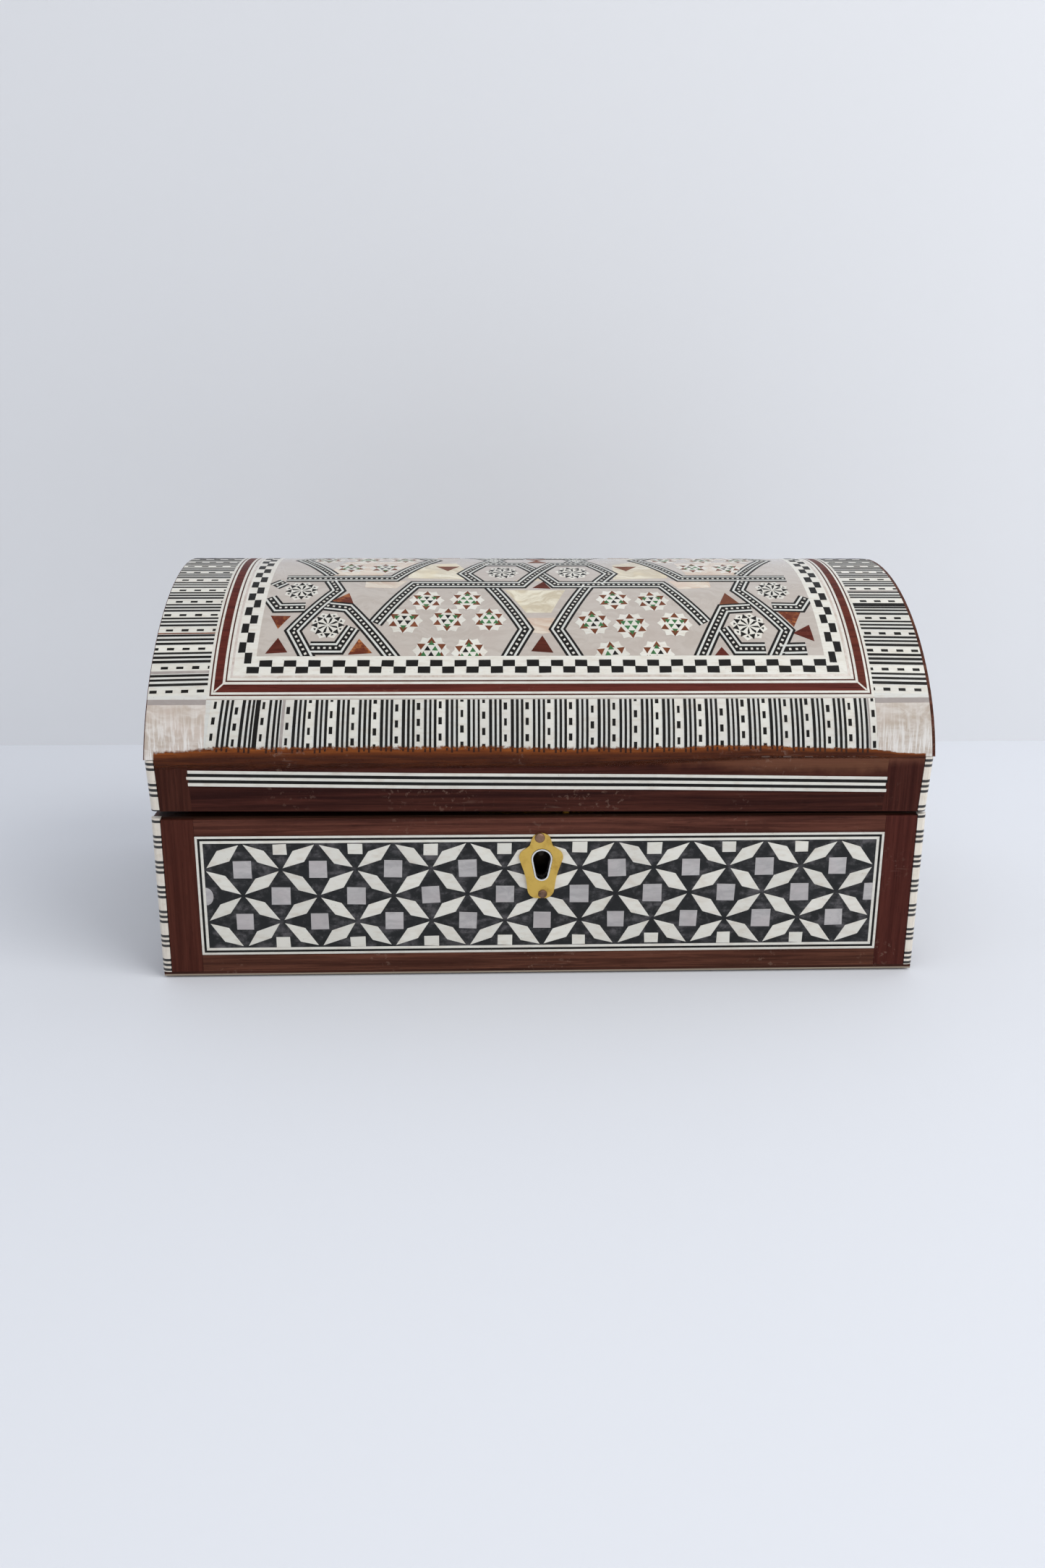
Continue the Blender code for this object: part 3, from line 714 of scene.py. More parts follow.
@dataclass(frozen=True)
class Backdrop(Finish):
    """Plain matt paint or paper, which lets light and views through from behind."""

    colour: Colour = (0.80, 0.82, 0.86)
    open_behind: bool = False

    def dress(self, shade: Shade, surface: Node) -> None:
        """A faint mottle, and nothing at all when seen from behind.

        Args:
            shade: its node tree.
            surface: its shader.
        """
        where = shade.place()
        drift = shade.noise(where, 3.0, 2.0)
        dim = tuple(c * 0.97 for c in self.colour)
        shade.paint(surface, {"Base Color": shade.mix(drift, self.colour, dim), "Roughness": 0.9,
                              "Specular IOR Level": 0.05})
        if self.open_behind:
            behind = shade.add("NewGeometry").outputs["Backfacing"]
            clear = shade.add("BsdfTransparent").outputs[0]
            both = shade.add("MixShader", {0: behind, 1: surface.outputs[0], 2: clear}).outputs[0]
            out = next(n for n in shade.tree.nodes if n.type == "OUTPUT_MATERIAL")
            shade.feed(out.inputs["Surface"], both)


BONE = Bone("bone_cut", "bone")
BONE_SHEET = Bone("bone_ground", "bone", colour=(0.66, 0.66, 0.62), spread=0.05)
BONE_WARM = Bone("bone_warm", "bone", colour=(0.72, 0.68, 0.61), spread=0.08)
BONE_COOL = Bone("bone_cool", "bone", colour=(0.64, 0.65, 0.61), stain=(0.47, 0.46, 0.41), spread=0.10)
BONE_RINGED = Bone("bone_corner", "bone", colour=(0.73, 0.675, 0.59), stain=(0.58, 0.50, 0.40),
                   ringed=True)
EBONY = Paste("black_line", "lattice_inlay", colour=(0.006, 0.0055, 0.005), cloud=(0.019, 0.017, 0.013),
              amount=0.5, roughness=0.36)
RESIN = Paste("charcoal_resin", "lattice_inlay", colour=(0.017, 0.018, 0.019),
              cloud=(0.105, 0.10, 0.105), amount=1.0, scale=300.0)
SHELL_PASTE = Shell("shell_ground", "pearl_inlay", deep=(0.46, 0.405, 0.355), light=(0.515, 0.465, 0.415),
                    blush=(0.47, 0.395, 0.35), scatter=0.0, strength=0.30)
SHELL_CREAM = Shell("shell_cream", "pearl_inlay", deep=(0.54, 0.45, 0.32), light=(0.78, 0.72, 0.58),
                    blush=(0.74, 0.62, 0.42), strength=0.7)
SHELL_PINK = Shell("shell_pink", "pearl_inlay", deep=(0.58, 0.42, 0.32), light=(0.74, 0.655, 0.55),
                   blush=(0.66, 0.51, 0.44), strength=0.7)
SHELL_CORNER = Shell("shell_corner", "pearl_inlay", deep=(0.50, 0.41, 0.345), light=(0.66, 0.60, 0.55),
                     blush=(0.60, 0.49, 0.43), strength=0.6, fibre=0.75)
SHELL_GREY = Shell("shell_grey", "pearl_inlay", deep=(0.36, 0.345, 0.345), light=(0.47, 0.45, 0.445),
                   blush=(0.45, 0.40, 0.40), strength=0.5)
GREY_FILLER = Paste("grey_filler", "pearl_inlay", colour=(0.36, 0.32, 0.30), cloud=(0.46, 0.42, 0.39),
                    amount=0.8, roughness=0.35)
TORTOISE = Paste("amber_horn", "lattice_inlay", colour=(0.12, 0.022, 0.009), cloud=(0.55, 0.20, 0.060),
                 amount=1.6, scale=260.0, roughness=0.25)
RUSSET = Paste("russet_wood", "mahogany", colour=(0.15, 0.043, 0.018), cloud=(0.25, 0.082, 0.036),
               amount=0.9, roughness=0.35)
GREEN = Paste("green_dye", "lattice_inlay", colour=(0.035, 0.14, 0.045), cloud=(0.09, 0.24, 0.10),
              amount=0.8, roughness=0.35)
DIMMED = Paste("dimmed_line", "mahogany", colour=(0.036, 0.011, 0.005), cloud=(0.075, 0.022, 0.008))
RED_LINE = Paste("red_line", "mahogany", colour=(0.060, 0.013, 0.008), cloud=(0.105, 0.028, 0.017),
                 amount=0.7, roughness=0.35)
WOOD_X = Wood("mahogany_along", "mahogany")
WOOD_Z = Wood("mahogany_upright", "mahogany", along=Axis.Z, dark=(0.052, 0.0135, 0.0095),
              light=(0.088, 0.025, 0.017))
WOOD_Y = Wood("mahogany_across", "mahogany", along=Axis.Y)
WOOD_SKIRT = Wood("mahogany_skirt", "mahogany", dark=(0.024, 0.0068, 0.0058), light=(0.066, 0.0190, 0.0135),
                  worn_top=62.6)
WOOD_SKIRT_END = Wood("mahogany_skirt_end", "mahogany", along=Axis.Z, dark=(0.036, 0.010, 0.007),
                      light=(0.068, 0.021, 0.014), worn_top=64.6)
WOOD_BAND = Wood("mahogany_band", "mahogany", dark=(0.078, 0.018, 0.013), light=(0.140, 0.034, 0.023),
                 wear=0.25)
CARCASS = Wood("pale_carcass", "carcass_wood", dark=(0.19, 0.115, 0.065), light=(0.30, 0.20, 0.12),
               wear=0.3)
# carcass boards painted nearly black: painted shade, so the gap between lid and body reads dark
GAP_SHADE_BOARD = Wood("gap_shade_carcass", "carcass_wood", dark=(0.020, 0.008, 0.006), light=(0.050, 0.020, 0.013),
               wear=0.3)
BASE_EDGE = Wood("base_edge", "carcass_wood", dark=(0.036, 0.012, 0.009), light=(0.095, 0.034, 0.023),
                 pale_foot=1.05)
BRASS = Metal("old_brass", "brass", colour=(0.70, 0.47, 0.115), tarnish=(0.50, 0.31, 0.07))
SILVERED = Metal("silvered_rim", "steel", colour=(0.80, 0.79, 0.77), tarnish=(0.42, 0.40, 0.38),
                 roughness=0.2)
# near-black metal for the lock case and key post: painted shade, so the keyhole's inside reads dark
KEYHOLE_SHADE_IRON = Metal("keyhole_shade_iron", "steel", colour=(0.045, 0.038, 0.03), tarnish=(0.018, 0.014, 0.010),
                  roughness=0.5)
COPPER = Metal("dull_copper", "copper_pins", colour=(0.30, 0.185, 0.13), tarnish=(0.12, 0.075, 0.055),
               roughness=0.42)
# lock plate: brass above, painted shade below, where it shows through the keyhole
LOCK_BRASS = Metal("lock_brass", "brass", colour=(0.70, 0.47, 0.115), tarnish=(0.50, 0.31, 0.07),
                   shaded_below=44.6)
STEEL = Metal("grey_steel", "steel", colour=(0.40, 0.39, 0.37), tarnish=(0.17, 0.15, 0.13),
              roughness=0.34)
VELVET = Pile("red_velvet", "velvet")
FELT = Pile("green_felt", "felt", dark=(0.014, 0.045, 0.022), light=(0.035, 0.10, 0.05), sheen=0.3)
VARNISH = WornVarnish("worn_varnish", "mahogany")


# ---- surfaces


def lid_scale(z: float) -> float:
    """The lid's width at a height, as a part of its width at the dome's base.

    Args:
        z: the height.

    Returns:
        The part, about 1.
    """
    if z > DOME_BASE:
        return 1 + (LID_FLARE - END_LEAN * (z - DOME_BASE)) / HALF_W
    part_way = (z - SAWN) / (DOME_BASE - SAWN)
    return 1 + ((LID_IN + LID_FLARE) * part_way - LID_IN) / HALF_W


class Surface(Protocol):
    """Somewhere flat pieces are laid: u along, v across, and height above it."""

    curved: bool

    def point(self, u: float, v: float, height: float) -> Vector:
        """The place of (u, v) at a height, in metres."""


@dataclass(frozen=True)
class Face:
    """A flat face of the body; u runs to the right as it is looked at, and v is the height z."""

    side: Side
    curved: bool = False

    def point(self, u: float, v: float, height: float) -> Vector:
        """The place of (u, v) at a height, in metres.

        Args:
            u: the place along, in millimetres.
            v: the height z.
            height: how far out from the surface.

        Returns:
            The place.
        """
        places = {Side.FRONT: (u, -HALF_D - height, v), Side.BACK: (-u, HALF_D + height, v),
                  Side.RIGHT: (HALF_W + height, u, v), Side.LEFT: (-HALF_W - height, -u, v)}
        return Vector(places[self.side]) * MM


@dataclass(frozen=True)
class SkirtFace:
    """The lid's straight front or back, whose ends flare with the lid."""

    side: Side
    curved: bool = False

    def point(self, u: float, v: float, height: float) -> Vector:
        """The place of (u, v) at a height, in metres."""
        sign = -1 if self.side is Side.FRONT else 1
        return Vector((-sign * u * lid_scale(v), sign * (HALF_D + height), v)) * MM


@dataclass(frozen=True)
class EndFace:
    """The lid's arched end; u is along the end and v is the height z."""

    side: Side
    curved: bool = False

    def point(self, u: float, v: float, height: float) -> Vector:
        """The place of (u, v) at a height, in metres."""
        sign = -1 if self.side is Side.LEFT else 1
        return Vector((sign * (HALF_W * lid_scale(v) + height), sign * u, v)) * MM


@dataclass
class Dome:
    """The half-elliptical dome; u is along the box and v goes up and over from the front."""

    curved: bool = True
    steps: int = 1200
    lengths: list[float] = field(default_factory=list)

    def __post_init__(self) -> None:
        """Measure the arc once."""
        total, last = 0.0, (-HALF_D, 0.0)
        self.lengths = [0.0]
        for i in range(1, self.steps + 1):
            a = math.pi * i / self.steps
            here = (-HALF_D * math.cos(a), DOME_RISE * math.sin(a))
            total += math.dist(last, here)
            self.lengths.append(total)
            last = here

    @property
    def girth(self) -> float:
        """Arc length from the front over to the back."""
        return self.lengths[-1]

    def point(self, u: float, v: float, height: float) -> Vector:
        """The place of (u, v) at a height, in metres.

        Args:
            u: the place along, in millimetres.
            v: the arc length from the front.
            height: how far out from the surface.

        Returns:
            The place.
        """
        v = min(max(v, 0.0), self.girth)
        high = max(1, bisect_left(self.lengths, v))
        low = high - 1
        part = (v - self.lengths[low]) / (self.lengths[high] - self.lengths[low])
        a = math.pi * (low + part) / self.steps
        y, z = -HALF_D * math.cos(a), DOME_RISE * math.sin(a)
        out = Vector((0, y / HALF_D ** 2, z / DOME_RISE ** 2)).normalized()
        top = SPRINGING + z
        return Vector((u * lid_scale(top), y + out.y * height, top + out.z * height)) * MM


# ---- flat outlines


def area(outline: Outline) -> float:
    """Signed area of an outline."""
    return sum(a[0] * b[1] - b[0] * a[1] for a, b in zip(outline, outline[1:] + outline[:1])) / 2


def offset_point(before: Point, here: Point, after: Point, distance: float) -> Point:
    """A corner moved to the left of its path, keeping both sides parallel.

    Args:
        before: the corner before it.
        here: the corner.
        after: the corner after it.
        distance: how far each side moves.

    Returns:
        The moved corner.
    """
    first = Vector((here[0] - before[0], here[1] - before[1])).normalized()
    second = Vector((after[0] - here[0], after[1] - here[1])).normalized()
    left_1, left_2 = Vector((-first.y, first.x)), Vector((-second.y, second.x))
    middle = left_1 + left_2
    if middle.length < 1e-6:
        return here
    middle.normalize()
    reach = distance / max(0.35, middle.dot(left_1))
    return here[0] + middle.x * reach, here[1] + middle.y * reach


def inset(outline: Outline, distance: float) -> Outline:
    """An anticlockwise outline drawn in by a distance.

    Args:
        outline: its corners.
        distance: how far in.

    Returns:
        The smaller outline.
    """
    count = len(outline)
    return [offset_point(outline[i - 1], outline[i], outline[(i + 1) % count], distance)
            for i in range(count)]


def clip(outline: Outline, fence: Outline) -> Outline:
    """Cut an outline along a fence.

    Args:
        outline: the corners of the piece.
        fence: the corners of a convex shape, anticlockwise.

    Returns:
        The part of the outline inside the fence.
    """
    for (x0, y0), (x1, y1) in zip(fence, fence[1:] + fence[:1]):
        kept: Outline = []
        for a, b in zip(outline, outline[1:] + outline[:1]):
            in_a = (x1 - x0) * (a[1] - y0) - (y1 - y0) * (a[0] - x0)
            in_b = (x1 - x0) * (b[1] - y0) - (y1 - y0) * (b[0] - x0)
            if in_a >= 0:
                kept.append(a)
            if (in_a >= 0) != (in_b >= 0):
                t = in_a / (in_a - in_b)
                kept.append((a[0] + (b[0] - a[0]) * t, a[1] + (b[1] - a[1]) * t))
        outline = kept
        if not outline:
            break
    return outline


def box_outline(u0: float, v0: float, u1: float, v1: float) -> Outline:
    """A rectangle."""
    return [(u0, v0), (u1, v0), (u1, v1), (u0, v1)]


def framed(half: float, low: float, high: float, inside: float) -> Outline:
    """A rectangle about the middle, drawn in by a distance."""
    return box_outline(-half + inside, low + inside, half - inside, high - inside)


def mitred(outer: Outline, inner: Outline) -> list[Outline]:
    """The lengths between two outlines that have as many corners, mitred at each corner.

    Args:
        outer: the outer outline.
        inner: the inner outline.

    Returns:
        The outline of each length.
    """
    count = len(outer)
    return [[outer[i], outer[(i + 1) % count], inner[(i + 1) % count], inner[i]]
            for i in range(count)]


def spun(centre: Point, radii: list[tuple[float, float]], turn: float = 0.0) -> Outline:
    """Points at (degrees, radius) round a centre."""
    return [(centre[0] + r * math.cos(math.radians(a + turn)),
             centre[1] + r * math.sin(math.radians(a + turn))) for a, r in radii]


@dataclass
class Piece:
    """One cut piece of inlay."""

    outline: Outline
    rise: float
    bevel: float


@dataclass
class Mosaic:
    """Collects the cut pieces laid on one surface, and makes a mesh for each finish."""

    name: str
    surface: Surface
    body: str
    depth: float = 0.30
    step: float = 2.5
    seed: int = 7
    fence: Outline | None = None
    pieces: dict[Finish, list[Piece]] = field(default_factory=dict)

    def __post_init__(self) -> None:
        """Start the steady stream of small chances."""
        self.chance = random.Random(self.seed)

    def lay(self, finish: Finish, outline: Outline, rise: float = 0.03, bevel: float = 0.05,
            jitter: float = 0.0) -> None:
        """Lay one piece.

        Args:
            finish: what it is cut from.
            outline: its corners on the surface.
            rise: height of its top above the surface.
            bevel: how far its upper edge is rubbed back.
            jitter: how far each corner may stray.
        """
        if jitter:
            outline = [(u + self.chance.uniform(-jitter, jitter), v + self.chance.uniform(-jitter, jitter))
                       for u, v in outline]
        if self.fence:
            outline = clip(outline, self.fence)
        if len(outline) < 3 or abs(area(outline)) < 0.02:
            return
        if area(outline) < 0:
            outline = outline[::-1]
        rise += self.chance.uniform(-0.003, 0.003)
        self.pieces.setdefault(finish, []).append(Piece(outline, rise, bevel))

    def solid(self, data: BMesh, piece: Piece, place: Callable) -> None:
        """Add a piece as a closed prism with a rubbed upper edge.

        Args:
            data: the mesh being made.
            piece: the piece.
            place: puts (u, v, height) in the box.
        """
        rings = []
        if piece.bevel:
            rings.append((inset(piece.outline, piece.bevel), piece.rise))
            rings.append((piece.outline, piece.rise - piece.bevel * 0.6))
        else:
            rings.append((piece.outline, piece.rise))
        rings.append((piece.outline, piece.rise - self.depth))
        close_loops(data, [[data.verts.new(place(u, v, h)) for u, v in outline] for outline, h in rings])

    def build(self) -> list[bpy.types.Object]:
        """Make the meshes, one for each finish, riding on the body.

        Returns:
            The new objects.
        """
        made = []
        for finish, pieces in self.pieces.items():
            data = bmesh.new()
            long_ones = bmesh.new()
            for piece in pieces:
                vs = [v for _, v in piece.outline]
                if self.surface.curved and max(vs) - min(vs) > self.step * 1.05:
                    self.solid(long_ones, piece, lambda u, v, h: Vector((u, v, h)))
                else:
                    self.solid(data, piece, self.surface.point)
            self.bend(long_ones)
            merged = bpy.data.meshes.new("merge")
            long_ones.to_mesh(merged)
            long_ones.free()
            data.from_mesh(merged)
            bpy.data.meshes.remove(merged)
            made.append(to_object(f"{self.name}_{finish.name}", data, finish, self.body))
            log.info("%s: %d pieces of %s", self.name, len(pieces), finish.name)
        return made

    def bend(self, data: BMesh) -> None:
        """Cut long pieces across, then bend them on to the surface.

        Args:
            data: the pieces, still flat.
        """
        if not data.verts:
            return
        top = max(v.co.y for v in data.verts)
        cut_at = self.step * math.ceil(min(v.co.y for v in data.verts) / self.step)
        while cut_at < top:
            near = [f for f in data.faces if any(v.co.y < cut_at for v in f.verts)
                    and any(v.co.y > cut_at for v in f.verts)]
            parts = list({e for f in near for e in f.edges}) + near
            verts = list({v for f in near for v in f.verts})
            if near:
                bmesh.ops.bisect_plane(data, geom=verts + parts, plane_co=(0, cut_at, 0),
                                       plane_no=(0, 1, 0), dist=1e-5)
            cut_at += self.step
        for vert in data.verts:
            vert.co = self.surface.point(*vert.co)


def close_grids(data: BMesh, upper: Grid, lower: Grid) -> None:
    """Make one closed sheet from the grids of its two sides.

    Args:
        data: the mesh being made.
        upper: points of the outer side.
        lower: points of the inner side.
    """
    count_a, count_b = len(upper) - 1, len(upper[0]) - 1
    for i in range(count_a):
        for j in range(count_b):
            for grid, order in ((upper, 1), (lower, -1)):
                quad = [grid[i][j], grid[i + 1][j], grid[i + 1][j + 1], grid[i][j + 1]]
                data.faces.new(quad[::order])
    for i in (0, count_a):
        for j in range(count_b):
            data.faces.new((upper[i][j], upper[i][j + 1], lower[i][j + 1], lower[i][j]))
    for j in (0, count_b):
        for i in range(count_a):
            data.faces.new((upper[i][j], upper[i + 1][j], lower[i + 1][j], lower[i][j]))


def close_loops(data: BMesh, loops: Grid) -> None:
    """Make one closed solid from a stack of loops, capped at both ends.

    Args:
        data: the mesh being made.
        loops: the loops, from top to bottom.
    """
    data.faces.new(loops[0])
    data.faces.new(loops[-1][::-1])
    for upper, lower in zip(loops, loops[1:]):
        for i in range(len(upper)):
            j = (i + 1) % len(upper)
            data.faces.new((upper[i], lower[i], lower[j], upper[j]))


def to_object(name: str, data: BMesh, finish: Finish, body: str,
              smooth_angle: float = 24.0) -> bpy.types.Object:
    """Turn a bmesh into a piece of the box.

    Args:
        name: the piece's name.
        data: its mesh, in metres; it is freed.
        finish: the finish to give it.
        body: the moving body it rides on.
        smooth_angle: edges sharper than this stay crisp.

    Returns:
        The new object.
    """
    bmesh.ops.recalc_face_normals(data, faces=data.faces)
    mesh = bpy.data.meshes.new(name)
    data.to_mesh(mesh)
    data.free()
    mesh.shade_smooth()
    mesh.set_sharp_from_angle(angle=math.radians(smooth_angle))
    mesh.materials.append(finish.material())
    made = bpy.data.objects.new(name, mesh)
    bpy.context.scene.collection.objects.link(made)
    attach(made, body)
    return made


def dress_node(node: str, finish: Finish) -> None:
    """Give a carried-over CAD node its finish.

    Args:
        node: the node's name.
        finish: its finish.
    """
    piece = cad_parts[node]
    piece.data.materials.clear()
    piece.data.materials.append(finish.material())
    log.info("dressed %s in %s", node, finish.name)


# ---- motifs


@dataclass(frozen=True)
class Strap:
    """Interlaced strap: black edges, white lines and a black core set with white squares."""

    path: tuple[Point, ...]
    rise: float = 0.05
    half: float = 2.15
    line: tuple[float, float] = (0.88, 1.50)
    square: float = 0.33
    pitch: float = 1.42

    def lay(self, mosaic: Mosaic) -> None:
        """Lay the strap on the field.

        Args:
            mosaic: where it is laid.
        """
        self.ribbon(mosaic, EBONY, -self.half, self.half, self.rise)
        for low, high in (self.line, (-self.line[1], -self.line[0])):
            self.ribbon(mosaic, BONE_COOL, low, high, self.rise + 0.022)
        for a, b in zip(self.path, self.path[1:]):
            along = Vector((b[0] - a[0], b[1] - a[1]))
            length = along.length
            along.normalize()
            side = Vector((-along.y, along.x))
            count = max(1, round((length - 1.2) / self.pitch))
            for i in range(count):
                middle = Vector(a) + along * ((i + 0.5) * length / count)
                corners = [middle + along * self.square * p + side * self.square * q
                           for p, q in ((-1, -1), (1, -1), (1, 1), (-1, 1))]
                mosaic.lay(BONE, [tuple(c) for c in corners], self.rise + 0.022, 0.03, 0.05)

    def ribbon(self, mosaic: Mosaic, finish: Finish, low: float, high: float, rise: float) -> None:
        """Lay one ribbon between two offsets from the centre line.

        Args:
            mosaic: where it is laid.
            finish: what it is made of.
            low: one offset.
            high: the other offset.
            rise: height of its top above the surface.
        """
        path = self.path
        ends = [(2 * path[0][0] - path[1][0], 2 * path[0][1] - path[1][1]),
                (2 * path[-1][0] - path[-2][0], 2 * path[-1][1] - path[-2][1])]
        full = [ends[0], *path, ends[1]]
        edges = [[offset_point(full[i], full[i + 1], full[i + 2], d) for i in range(len(path))]
                 for d in (low, high)]
        for i in range(len(path) - 1):
            outline = [edges[0][i], edges[0][i + 1], edges[1][i + 1], edges[1][i]]
            mosaic.lay(finish, outline, rise, 0.04)


@dataclass(frozen=True)
class SixStar:
    """Six russet points between white kites, round a triangle of green, black and white."""

    centre: Point
    radius: float = 4.7
    turn: float = 0.0
    points_up: bool = True

    def lay(self, mosaic: Mosaic) -> None:
        """Lay the star on the field.

        Args:
            mosaic: where it is laid.
        """
        r, turn = self.radius, self.turn + 90
        rim = [(15 * k, (0.93, 0.85, 1.03, 0.85)[k % 4] * r) for k in range(24)]
        mosaic.lay(BONE, spun(self.centre, rim, turn), 0.045, 0.05)
        for k in range(6):
            a = 60 * k
            tip = spun(self.centre, [(a - 25, 0.57 * r), (a + 25, 0.57 * r), (a, 0.93 * r)], turn)
            mosaic.lay(RUSSET, tip, 0.065, 0.04, 0.06)
        flip = 0 if self.points_up else 180
        corners = spun(self.centre, [(120 * k, 0.72 * r) for k in range(3)], turn + flip)
        self.triangles(mosaic, corners)

    def triangles(self, mosaic: Mosaic, corners: Outline) -> None:
        """Split the middle triangle into nine, green at the corners and black between.

        Args:
            mosaic: where it is laid.
            corners: the corners of the middle triangle.
        """
        a, b, c = (Vector(p) for p in corners)

        def at(i: int, j: int) -> Vector:
            """A point of the triangular grid."""
            return a + (b - a) * (i / 3) + (c - a) * (j / 3)

        for i in range(3):
            for j in range(3 - i):
                trio = [at(i, j), at(i + 1, j), at(i, j + 1)]
                middle = sum(trio, Vector((0, 0))) / 3
                cut = [tuple(middle + (p - middle) * 0.84) for p in trio]
                corner = (i, j) in ((0, 0), (2, 0), (0, 2)) or mosaic.chance.random() < 0.4
                mosaic.lay(GREEN if corner else EBONY, cut, 0.068, 0.03, 0.04)


@dataclass(frozen=True)
class EightStar:
    """Round rosette of eight white blades with black triangles between."""

    centre: Point
    radius: float = 4.8
    turn: float = 0.0

    def lay(self, mosaic: Mosaic) -> None:
        """Lay the rosette on the field.

        Args:
            mosaic: where it is laid.
        """
        r, turn = self.radius, self.turn
        rim = [(22.5 * k, (1.0 if k % 2 else 0.80) * r) for k in range(16)]
        mosaic.lay(BONE, spun(self.centre, rim, turn), 0.035, 0.05)
        cuts = (([(0, 0.90), (-18, 0.60), (18, 0.60)], 0.04, 0.06),
                ([(22.5, 0.05), (36, 0.50), (22.5, 0.60), (16, 0.34)], 0.02, 0.04),
                ([(22.5, 0.66), (29, 0.80), (16, 0.80)], 0.02, 0.04))
        for k in range(8):
            for points, bevel, jitter in cuts:
                cut = spun(self.centre, [(45 * k + a, part * r) for a, part in points], turn)
                mosaic.lay(EBONY, cut, 0.055, bevel, jitter)


class Run(Enum):
    """Which way the strips of a band run."""

    UP = "up"
    ALONG = "along"


@dataclass
class StripBand:
    """A band of dashed bone strips with three black lines between each two."""

    start: float
    end: float
    low: float
    high: float
    run: Run
    first: float
    extras: dict[int, tuple[float, Finish]]
    period: float = 5.77
    dash: tuple[float, float] = (0.76, 1.9)
    dash_pitch: float = 4.2
    strip_half: float = 1.18
    lines: tuple[tuple[float, float], ...] = ((1.84, 0.39), (3.16, 0.34), (4.46, 0.34))
    last_line: float = 4.95
    lean: Callable[[float], float] = lambda place: 0.0
    lines_at: list[float] = field(default_factory=list)

    def quad(self, across: float, half: float, low: float, high: float) -> Outline:
        """A strip piece about a place across the band, leaning as the band does there.

        Args:
            across: its place across the band.
            half: half its width.
            low: where it starts along the strip.
            high: where it ends.

        Returns:
            Its corners.
        """
        tilt = self.lean(across)
        mid = (self.low + self.high) / 2

        def at(side: float, along: float) -> Point:
            """One corner.

            Args:
                side: how far to one side.
                along: how far along the strip.

            Returns:
                The corner.
            """
            place = across + side + tilt * (along - mid) / (self.high - self.low)
            place = min(max(place, self.start), self.end)
            return (place, along) if self.run is Run.UP else (along, place)

        return [at(-half, low), at(half, low), at(half, high), at(-half, high)]

    def lay(self, mosaic: Mosaic) -> None:
        """Lay the ground and every strip, dash and line.

        Args:
            mosaic: where it is laid.
        """
        low, high = self.low, self.high
        ground = box_outline(self.start, low, self.end, high)
        if self.run is Run.ALONG:
            ground = [(v, u) for u, v in ground]
        mosaic.lay(BONE_SHEET, ground, 0.012, 0.0)
        chance = mosaic.chance
        place, number = self.first, 0
        while place < self.end + 1.2:
            if self.start - 1.0 < place:
                mosaic.lay(BONE, self.quad(place, self.strip_half, low, high), 0.035, 0.04)
                phase = low + chance.uniform(-2.5, 1.2)
                while phase < high:
                    a, b = max(low + 0.05, phase), min(high - 0.05, phase + self.dash[1])
                    if b - a > 0.3 and self.start < place < self.end:
                        half = self.dash[0] / 2 * chance.uniform(0.9, 1.25)
                        mosaic.lay(EBONY, self.quad(place, half, a, b), 0.07, 0.03)
                    phase += self.dash_pitch * chance.uniform(0.97, 1.03)
            for away, half in self.lines:
                here = place + away + (0.0 if number not in self.extras else chance.uniform(-0.1, 0.1))
                if self.start + 0.2 < here < self.end - 0.2:
                    mosaic.lay(EBONY, self.quad(here, half * chance.uniform(0.85, 1.1), low, high),
                               0.05, 0.03)
                    self.lines_at.append(here)
            if number in self.extras:
                width, finish = self.extras[number]
                middle = place + self.last_line + width / 2
                if self.start < middle < self.end:
                    mosaic.lay(finish, self.quad(middle, width / 2 - 0.05, low, high), 0.04, 0.04)
                place += width
            place += self.period
            number += 1


# ---- sub-assemblies


